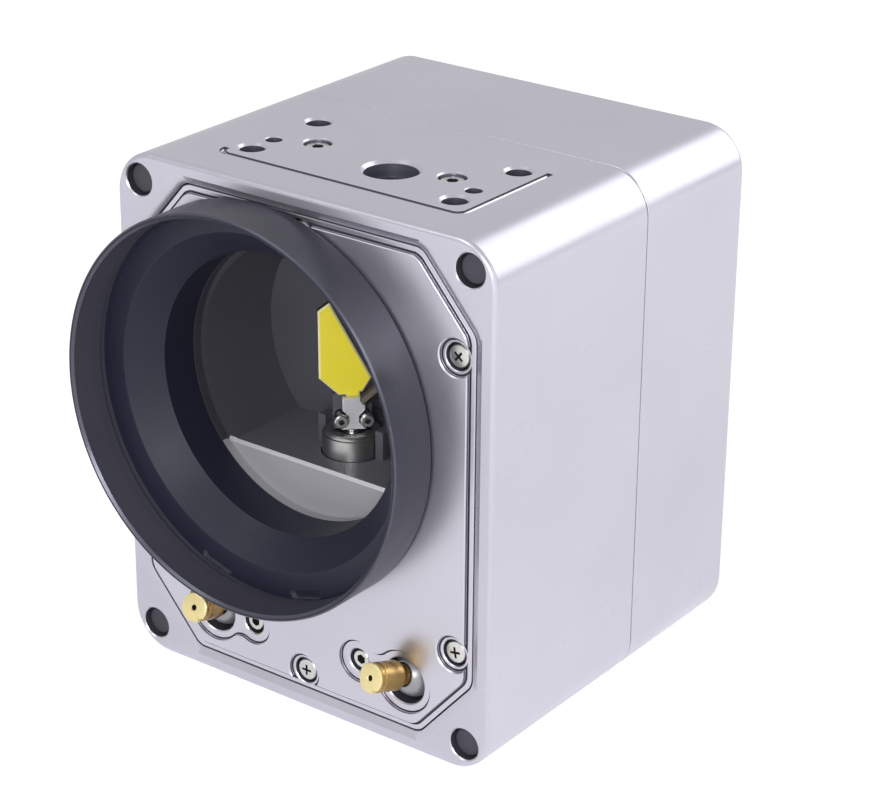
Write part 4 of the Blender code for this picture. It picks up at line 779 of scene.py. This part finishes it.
for number, (x, z) in enumerate(coverScrews, 1):
    form = shifted(crossScrew(2.6, 1.82, 1.3, 10.4), turn=Matrix.Rotation(0.35 + 0.7 * number, 4, "Z"))
    screwPiece(f"coverScrew{number}", form, f"front_cover_screw_{number}", onFace(x, z, -1.1))
for number, (x, z) in enumerate(cornerSpots(), 1):
    form = turnedForm([(0, 0), (2.85, 0), (3.2, -0.3), (3.2, -3.5), (0, -3.5)], 48)
    makePiece(f"cornerPlug{number}", form, ("plug",), (f"corner_plug_{number}",),
              onFace(x, z, -1.4))
for number, (x, depth) in enumerate(topHoles["screws"]["spots"], 1):
    place = Matrix.Translation((x * mm, frontY + depth * mm, mountScrewHead * mm)) @ Matrix.Scale(mm, 4)
    form = socketScrew(2.7, 2.7, 1.5, 17.0, 1.35, 1.6)
    screwPiece(f"mountScrew{number}", form, f"mount_screw_{number}", place)
for number, (x, z) in enumerate(cornerSpots(), 1):
    form = shifted(socketScrew(2.9, 3.0, 1.6, 55.0, 1.45, 1.8, 32), z=-8.7)
    screwPiece(f"housingScrew{number}", form, None, onFace(x, z))
for number, (x, z) in enumerate(rear["jacks"], 1):
    form = shifted(turnedForm(jackProfile, 6), z=-98.0)
    makePiece(f"jackPost{number}", form, ("nickelAndLedgeGlint",), (), onFace(x, z), sharp=25)
print("screws and plugs done")


# the motor mount with the mirrors' round chamber

mount = {"back": 49.4, "wall": 43.4, "front": 13.8, "ledge": 16.0, "chamber": 30.0, "chamberBack": 38.0,
         "bottom": 26.0, "right": 26.0, "ledgeZ": 48.1, "bore": 6.9, "saddle": 2.0, "saddleHigh": 6.6,
         "top": 103.7, "ledgeEdge": 0.45, "beamHole": 5.7, "screwHole": 1.8}


def mirrorChamber():
    # the round room, with the ledge left standing in its lower part
    level = mount["ledgeZ"] - beamZ
    keep = barForm((90, 60, 40), (0, level - 30, -28))
    front = [edge for edge in keep.edges if all(v.co.y > level - 0.01 and v.co.z > -9 for v in edge.verts)]
    bevelled(keep, front, mount["ledgeEdge"], 2)
    chamber = drill(mount["chamber"], -mount["front"], -mount["chamberBack"], steps=160)
    return shifted(carved(chamber, [keep]), lensX, beamZ)


def mountFinishes(form):
    lip, level = mount["ledge"], mount["ledgeZ"]
    bmesh.ops.recalc_face_normals(form, faces=form.faces)
    bmesh.ops.bisect_plane(form, geom=form.verts[:] + form.edges[:] + form.faces[:], dist=0.0005,
                           plane_co=(0, level - 0.2, 0), plane_no=(0, 1, 0))

    def nearOpening(face):
        spot = middle(face)
        return (-lip - 0.6 < spot.z < -mount["front"] - 0.05
                and (spot.xy - Vector((lensX, beamZ))).length < ring["bore"] + 0.2)

    def nearLevel(face, reach):
        return abs(middle(face).y - level) < reach

    # painted shade: the opening's faces above the ledge's level take a dark finish
    painted(form, 4, nearOpening)
    # painted light: those below it, the ledge's front, take a lighter finish
    painted(form, 1, lambda face: face.material_index == 4 and middle(face).y < level + 0.02)
    # painted light: the ledge's top is lighter
    painted(form, 2, lambda face: face.normal.y > 0.9 and nearLevel(face, 0.4))
    # painted glint: the ledge's front edge is lighter still
    painted(form, 3, lambda face: 0.3 < face.normal.y < 0.95 and nearLevel(face, 0.8)
            and -17.0 < middle(face).z < -15.5)


def motorMount():
    (yX, yDepth), (xX, xDepth) = shafts["y"], shafts["x"]
    back, lip = -mount["back"], -mount["front"]
    form = coverForm(coverWall - gap, back, lip, mount["top"], front=0.3, back=0.3, steps=2)
    form = carved(form, [barForm((60, 140, 40), (mount["right"] + 30, 58, -mount["wall"] + 20))])
    form = carved(form, [barForm((120, 60, 40), (-10, mount["bottom"] - 30, -mount["wall"] + 20.1))])
    form = carved(form, [mirrorChamber()])
    form = carved(form, drills([(lensX, beamZ)], ring["bore"], lip + 1, -mount["ledge"], steps=160))
    edge = shifted(barForm((49.0, 1.2, 1.2)), -9.4, mount["ledgeZ"] + 0.1, -mount["ledge"] + 0.1,
                   Matrix.Rotation(pi / 4, 4, "X"))
    form = carved(form, [edge])
    outer = mount["bore"] + mount["saddle"]
    saddle = turnedForm([(0, 48.0 + mount["saddleHigh"]), (outer - 0.3, 54.7), (outer, 54.4), (outer, 46.0),
                         (0, 46.0)], 64)
    saddle = carved(saddle, [barForm((40, 20, 40), (0, -10.8, 50))])
    form = carved(form, [shifted(saddle, yX, 0, -yDepth, lidUp)], "UNION")
    form = carved(form, [shifted(drill(mount["bore"], 60.0, 20.0, steps=64), yX, 0, -yDepth, lidUp)])
    form = carved(form, drills([(xX, beamZ)], mount["bore"], -mount["chamberBack"], back - 1, 0.4, 64))
    lids = [shifted(drill(mount["beamHole"], 104.7, 83.7, steps=48), xX, 0, -xDepth, lidUp)]
    lids += [shifted(drill(mount["screwHole"], 104.7, 97.7, steps=24), x, 0, -depth, lidUp)
             for x, depth in topHoles["screws"]["spots"]]
    form = carved(form, lids)
    mountFinishes(form)
    makePiece("motorMount", form, ("mount", "ledge", "shelf", "nickelAndLedgeGlint", "groove"),
              ("motor_mount",))


motorMount()
print("motor mount done")


# motors, mirrors and their clamps

motorSizes = {"radius": 6.6, "nose": -14.9, "length": 31.0, "bore": 4.9, "wall": 2.6, "bearing": 3.7,
              "groove": 0.35}
mirrorSizes = {"thick": 1.8, "face": 1.6, "neck": 3.0, "neckEnd": 11.8, "edge": 0.7}
mirrorOutlines = {"y": ((2.1, -6.2), (4.0, -3.0), (-4.9, 14.5), (-7.4, 12.7), (-7.3, -2.7), (-3.0, -6.8)),
                  "x": ((3.4, -6.2), (5.8, -3.4), (5.8, 3.4), (3.4, 6.8), (-3.4, 6.8), (-5.8, 3.4),
                        (-5.8, -3.4), (-3.4, -6.2))}
clampSizes = {"thick": 1.2, "half": 2.45, "waist": 1.1, "top": 6.9, "bottom": 14.2, "screwX": 2.8,
              "screwZ": -11.8}


def motorBody(axis, where):
    r, nose, cut = motorSizes["radius"], motorSizes["nose"], motorSizes["groove"]
    end, inner = nose - motorSizes["length"], nose - motorSizes["wall"]
    profile = [(motorSizes["bearing"], nose), (r - 0.75, nose), (r - cut, nose - 0.35), (r - cut, nose - 0.8),
               (r, nose - 0.8 - cut / 2), (r, end + 0.4), (r - 0.4, end), (motorSizes["bore"], end),
               (motorSizes["bore"], inner), (motorSizes["bearing"], inner)]
    makePiece(axis + "MotorBody", turnedForm(profile, 96, closed=True), ("motorSteel",),
              (axis + "_motor_body",), where)


def mirrorPiece(axis, where):
    outline = mirrorOutlines[axis]
    half = mirrorSizes["neck"] / 2
    corners = [(-half, -mirrorSizes["neckEnd"]), (half, -mirrorSizes["neckEnd"]), (half, outline[0][1])]
    corners += list(outline) + [(-half, outline[-1][1])]
    low, high = mirrorSizes["face"] - mirrorSizes["thick"], mirrorSizes["face"]
    form = plateForm(corners, low, high, front=mirrorSizes["edge"], steps=1)
    # the sides and back are dark glass, darker still as painted shade; the y mirror's bevel is pale cream as
    # a painted highlight, the x mirror's is dark
    painted(form, 2, lambda face: face.normal.z < 0.98)
    painted(form, 1, lambda face: 0.3 < face.normal.z < 0.98)
    edge = "glassEdgeHighlight" if axis == "y" else "glassSide"
    makePiece(axis + "Mirror", form, ("coating", edge, "glassSide"), (axis + "_mirror",),
              where @ upright, axis + "_rotor", sharp=12)


def mirrorClamp(axis, where):
    half, waist, screwZ = clampSizes["half"], clampSizes["waist"], clampSizes["screwZ"]
    right = [(half * 1.05, -clampSizes["bottom"]), (waist, screwZ - 0.7), (waist, screwZ + 0.7),
             (half, screwZ + 2.0), (half, -clampSizes["top"])]
    low = mirrorSizes["face"] + gap
    high = low + clampSizes["thick"]
    form = plateForm(right + [(-x, z) for x, z in reversed(right)], low, high, front=0.22, steps=2)
    makePiece(axis + "MirrorClamp", form, ("nickelAndLedgeGlint",), (axis + "_mirror_clamp",),
              where @ upright, axis + "_rotor")
    top = high + gap + 1.1
    for number, side in enumerate((-1, 1), 1):
        form = socketScrew(1.5, 1.1, 0.7, top + 2.58, 0.72, 0.8, 40)
        shifted(form, side * clampSizes["screwX"], screwZ, top)
        screwPiece(f"{axis}ClampScrew{number}", form, f"{axis}_clamp_screw_{number}", where @ upright,
                   axis + "_rotor")


for axis, where in shaftPlaces.items():
    motorBody(axis, where)
    mirrorPiece(axis, where)
    mirrorClamp(axis, where)
print("motors and mirrors done")


# aiming pointers

barrel = {"radius": 3.2, "neck": 2.3, "reach": 13.6, "head": 7.6, "tail": 7.0, "eye": 0.6, "pivot": 4.8,
          "ball": 8.0}


def pointerFrame(spot):
    across, up = radians(spot["lean"][0]), radians(spot["lean"][1])
    place = Matrix.Translation((spot["hole"][0] * mm, frontY + barrel["pivot"] * mm, spot["hole"][1] * mm))
    return place @ Euler((pi / 2 - up, 0, across)).to_matrix().to_4x4() @ Matrix.Scale(mm, 4)


def pointerBarrel():
    tip, r, eye, tail = barrel["reach"], barrel["radius"], barrel["eye"], -barrel["tail"]
    base = tip - barrel["head"]
    form = turnedForm([(0, tip - 1.4), (eye * 0.8, tip - 1.4), (eye, tip - 0.15), (eye + 0.15, tip),
                       (r - 0.35, tip), (r - 0.1, tip - 0.15), (r, tip - 0.45), (r, tip - 1.3),
                       (r - 0.12, tip - 1.45), (r - 0.12, tip - 1.7), (r, tip - 1.85), (r, base + 0.5),
                       (r - 0.5, base), (barrel["neck"], base - 0.2), (barrel["neck"], tail), (0, tail)], 64)
    form = carved(form, [barForm((1.3, 1.0, 2.4), (2.2, -2.5, tip))])
    # painted highlight: the tip face is lighter brass
    painted(form, 2, lambda face: middle(face).z > tip - 0.5)
    # painted shade: the eye hole takes a dark finish
    return painted(form, 1, lambda face: middle(face).z < tip - 0.1 and middle(face).xy.length < eye * 0.9)


def pointerBall():
    radius, half = pocket["hole"] - gap, barrel["ball"] / 2
    limit = asin(half / radius)
    turns = [limit - 2 * limit * k / 16 for k in range(17)]
    profile = [(radius * cos(t), radius * sin(t)) for t in turns]
    profile += [(barrel["neck"] + gap, -half), (barrel["neck"] + gap, half)]
    return turnedForm(profile, 64, closed=True)


for name, spot in pointers.items():
    where = pointerFrame(spot)
    makePiece(name + "PointerBarrel", pointerBarrel(), ("brass", "recess", "brassTipHighlight"),
              ("pointer_barrel_" + name,), where, "pointer_" + name)
    makePiece(name + "PointerBall", pointerBall(), ("ball",),
              ("pointer_ball_" + name,), where, "pointer_" + name)
    screwPiece(name + "PointerLockScrew", socketScrew(2.1, 1.9, 1.2, 6.8, 1.15, 1.3),
               "pointer_lock_screw_" + name, onFace(*spot["lock"], -1.2))
print("pointers done")


# pieces that keep the form of the solids, each with its own finish

carriedFinishes = {
    "mount": ("x_mirror_holder", "y_mirror_holder"), "rubber": ("housing_seal",),
    "painted": ("board_bracket",),
    "steel": ("x_shaft", "y_shaft", "x_front_bearing", "y_front_bearing", "x_rear_bearing", "y_rear_bearing",
              "x_sensor_vane", "y_sensor_vane", "signal_connector_shell", "power_connector_body"),
    "copper": ("x_coil", "y_coil"), "magnet": ("x_magnet", "y_magnet"),
    "plastic": ("x_sensor_housing", "y_sensor_housing", "signal_connector_insert", "power_connector_insert"),
    "board": ("x_sensor_board", "y_sensor_board", "x_driver_board", "y_driver_board", "interface_board"),
}
for finishName, nodeNames in carriedFinishes.items():
    for nodeName in nodeNames:
        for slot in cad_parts[nodeName].material_slots:
            slot.material = finishes[finishName]
print("carried pieces finished")


# floor, light and camera

studio = {"floor": (0.90, 0.90, 0.91), "size": 6.0, "world": 0.36, "sky": 0.76, "lift": 0.5, "shine": 0.42,
          "aim": (0.0, 0.0, 0.055)}
lamps = (("frontSoftbox", (0.50, -0.95, 0.42), 0.35, 5.6), ("keySoftbox", (-0.30, -0.75, 0.80), 0.40, 1.6),
         ("backSoftbox", (0.46, 0.83, 0.60), 1.0, 4.6), ("sideSoftbox", (0.95, -0.15, 0.35), 0.60, 0.9))
white = (1.0, 1.0, 1.0, 1.0)


def rayMix(tree, plain, shiny):
    # whether the camera sees it, and a value for what shows in a reflection and another for all the rest
    rays = tree.nodes.new("ShaderNodeLightPath")
    more = mathNode(tree, "MULTIPLY", rays.outputs["Is Glossy Ray"], shiny - plain)
    return rays.outputs["Is Camera Ray"], mathNode(tree, "ADD", more, plain)


def studioFloor():
    form = bmesh.new()
    bmesh.ops.create_grid(form, x_segments=1, y_segments=1, size=studio["size"] / 2)
    mesh = bpy.data.meshes.new("floor")
    form.to_mesh(mesh)
    form.free()
    floor = bpy.data.objects.new("floor", mesh)
    bpy.context.collection.objects.link(floor)
    material = bpy.data.materials.new("floorPaper")
    material.use_nodes = True
    tree = material.node_tree
    shader = setInputs(tree.nodes["Principled BSDF"], {
        "Base Color": (*studio["floor"], 1.0), "Roughness": 0.9, "Specular IOR Level": 0.0,
        "Emission Color": white})
    seen, glow = rayMix(tree, 0.0, studio["shine"])
    glow = mathNode(tree, "ADD", mathNode(tree, "MULTIPLY", seen, studio["lift"]), glow)
    tree.links.new(glow, shader.inputs["Emission Strength"])
    floor.data.materials.append(material)


def studioWorld():
    world = bpy.data.worlds.new("studio")
    bpy.context.scene.world = world
    world.use_nodes = True
    tree = world.node_tree
    light = setInputs(tree.nodes["Background"], {"Color": white})
    seen, strength = rayMix(tree, studio["world"], studio["sky"])
    tree.links.new(strength, light.inputs["Strength"])
    backdrop = setInputs(tree.nodes.new("ShaderNodeBackground"), {"Color": white})
    mix = tree.nodes.new("ShaderNodeMixShader")
    for number, source in enumerate((seen, light.outputs[0], backdrop.outputs[0])):
        tree.links.new(source, mix.inputs[number])
    tree.links.new(mix.outputs[0], tree.nodes["World Output"].inputs["Surface"])


def studioLamps():
    for name, spot, size, power in lamps:
        lamp = bpy.data.lights.new(name, "AREA")
        lamp.size = size
        lamp.energy = power
        holder = bpy.data.objects.new(name, lamp)
        bpy.context.collection.objects.link(holder)
        holder.location = spot
        aim = Vector(studio["aim"]) - Vector(spot)
        holder.rotation_euler = aim.to_track_quat("-Z", "Y").to_euler()


# the focal length is in pixels of a picture of that width
camera = {"turn": 36.8, "rise": 23.83, "roll": 0.44, "away": 580.51, "focal": 2655.93, "pictureWidth": 869,
          "sensor": 36.0, "target": (-0.98, 1.5, 55.94)}


def studioCamera():
    turn, rise = radians(camera["turn"]), radians(camera["rise"])
    back = Vector((sin(turn) * cos(rise), -cos(turn) * cos(rise), sin(rise)))
    lens = bpy.data.cameras.new("camera")
    lens.sensor_fit = "HORIZONTAL"
    lens.sensor_width = camera["sensor"]
    lens.lens = camera["focal"] * camera["sensor"] / camera["pictureWidth"]
    lens.clip_start = 0.01
    holder = bpy.data.objects.new("camera", lens)
    bpy.context.collection.objects.link(holder)
    holder.location = (Vector(camera["target"]) + back * camera["away"]) * mm
    facing = (-back).to_track_quat("-Z", "Y").to_matrix() @ Matrix.Rotation(radians(camera["roll"]), 3, "Z")
    holder.rotation_euler = facing.to_euler()
    bpy.context.scene.camera = holder


studioFloor()
studioWorld()
studioLamps()
studioCamera()
bpy.context.scene.view_settings.view_transform = "Standard"
print("studio ready")
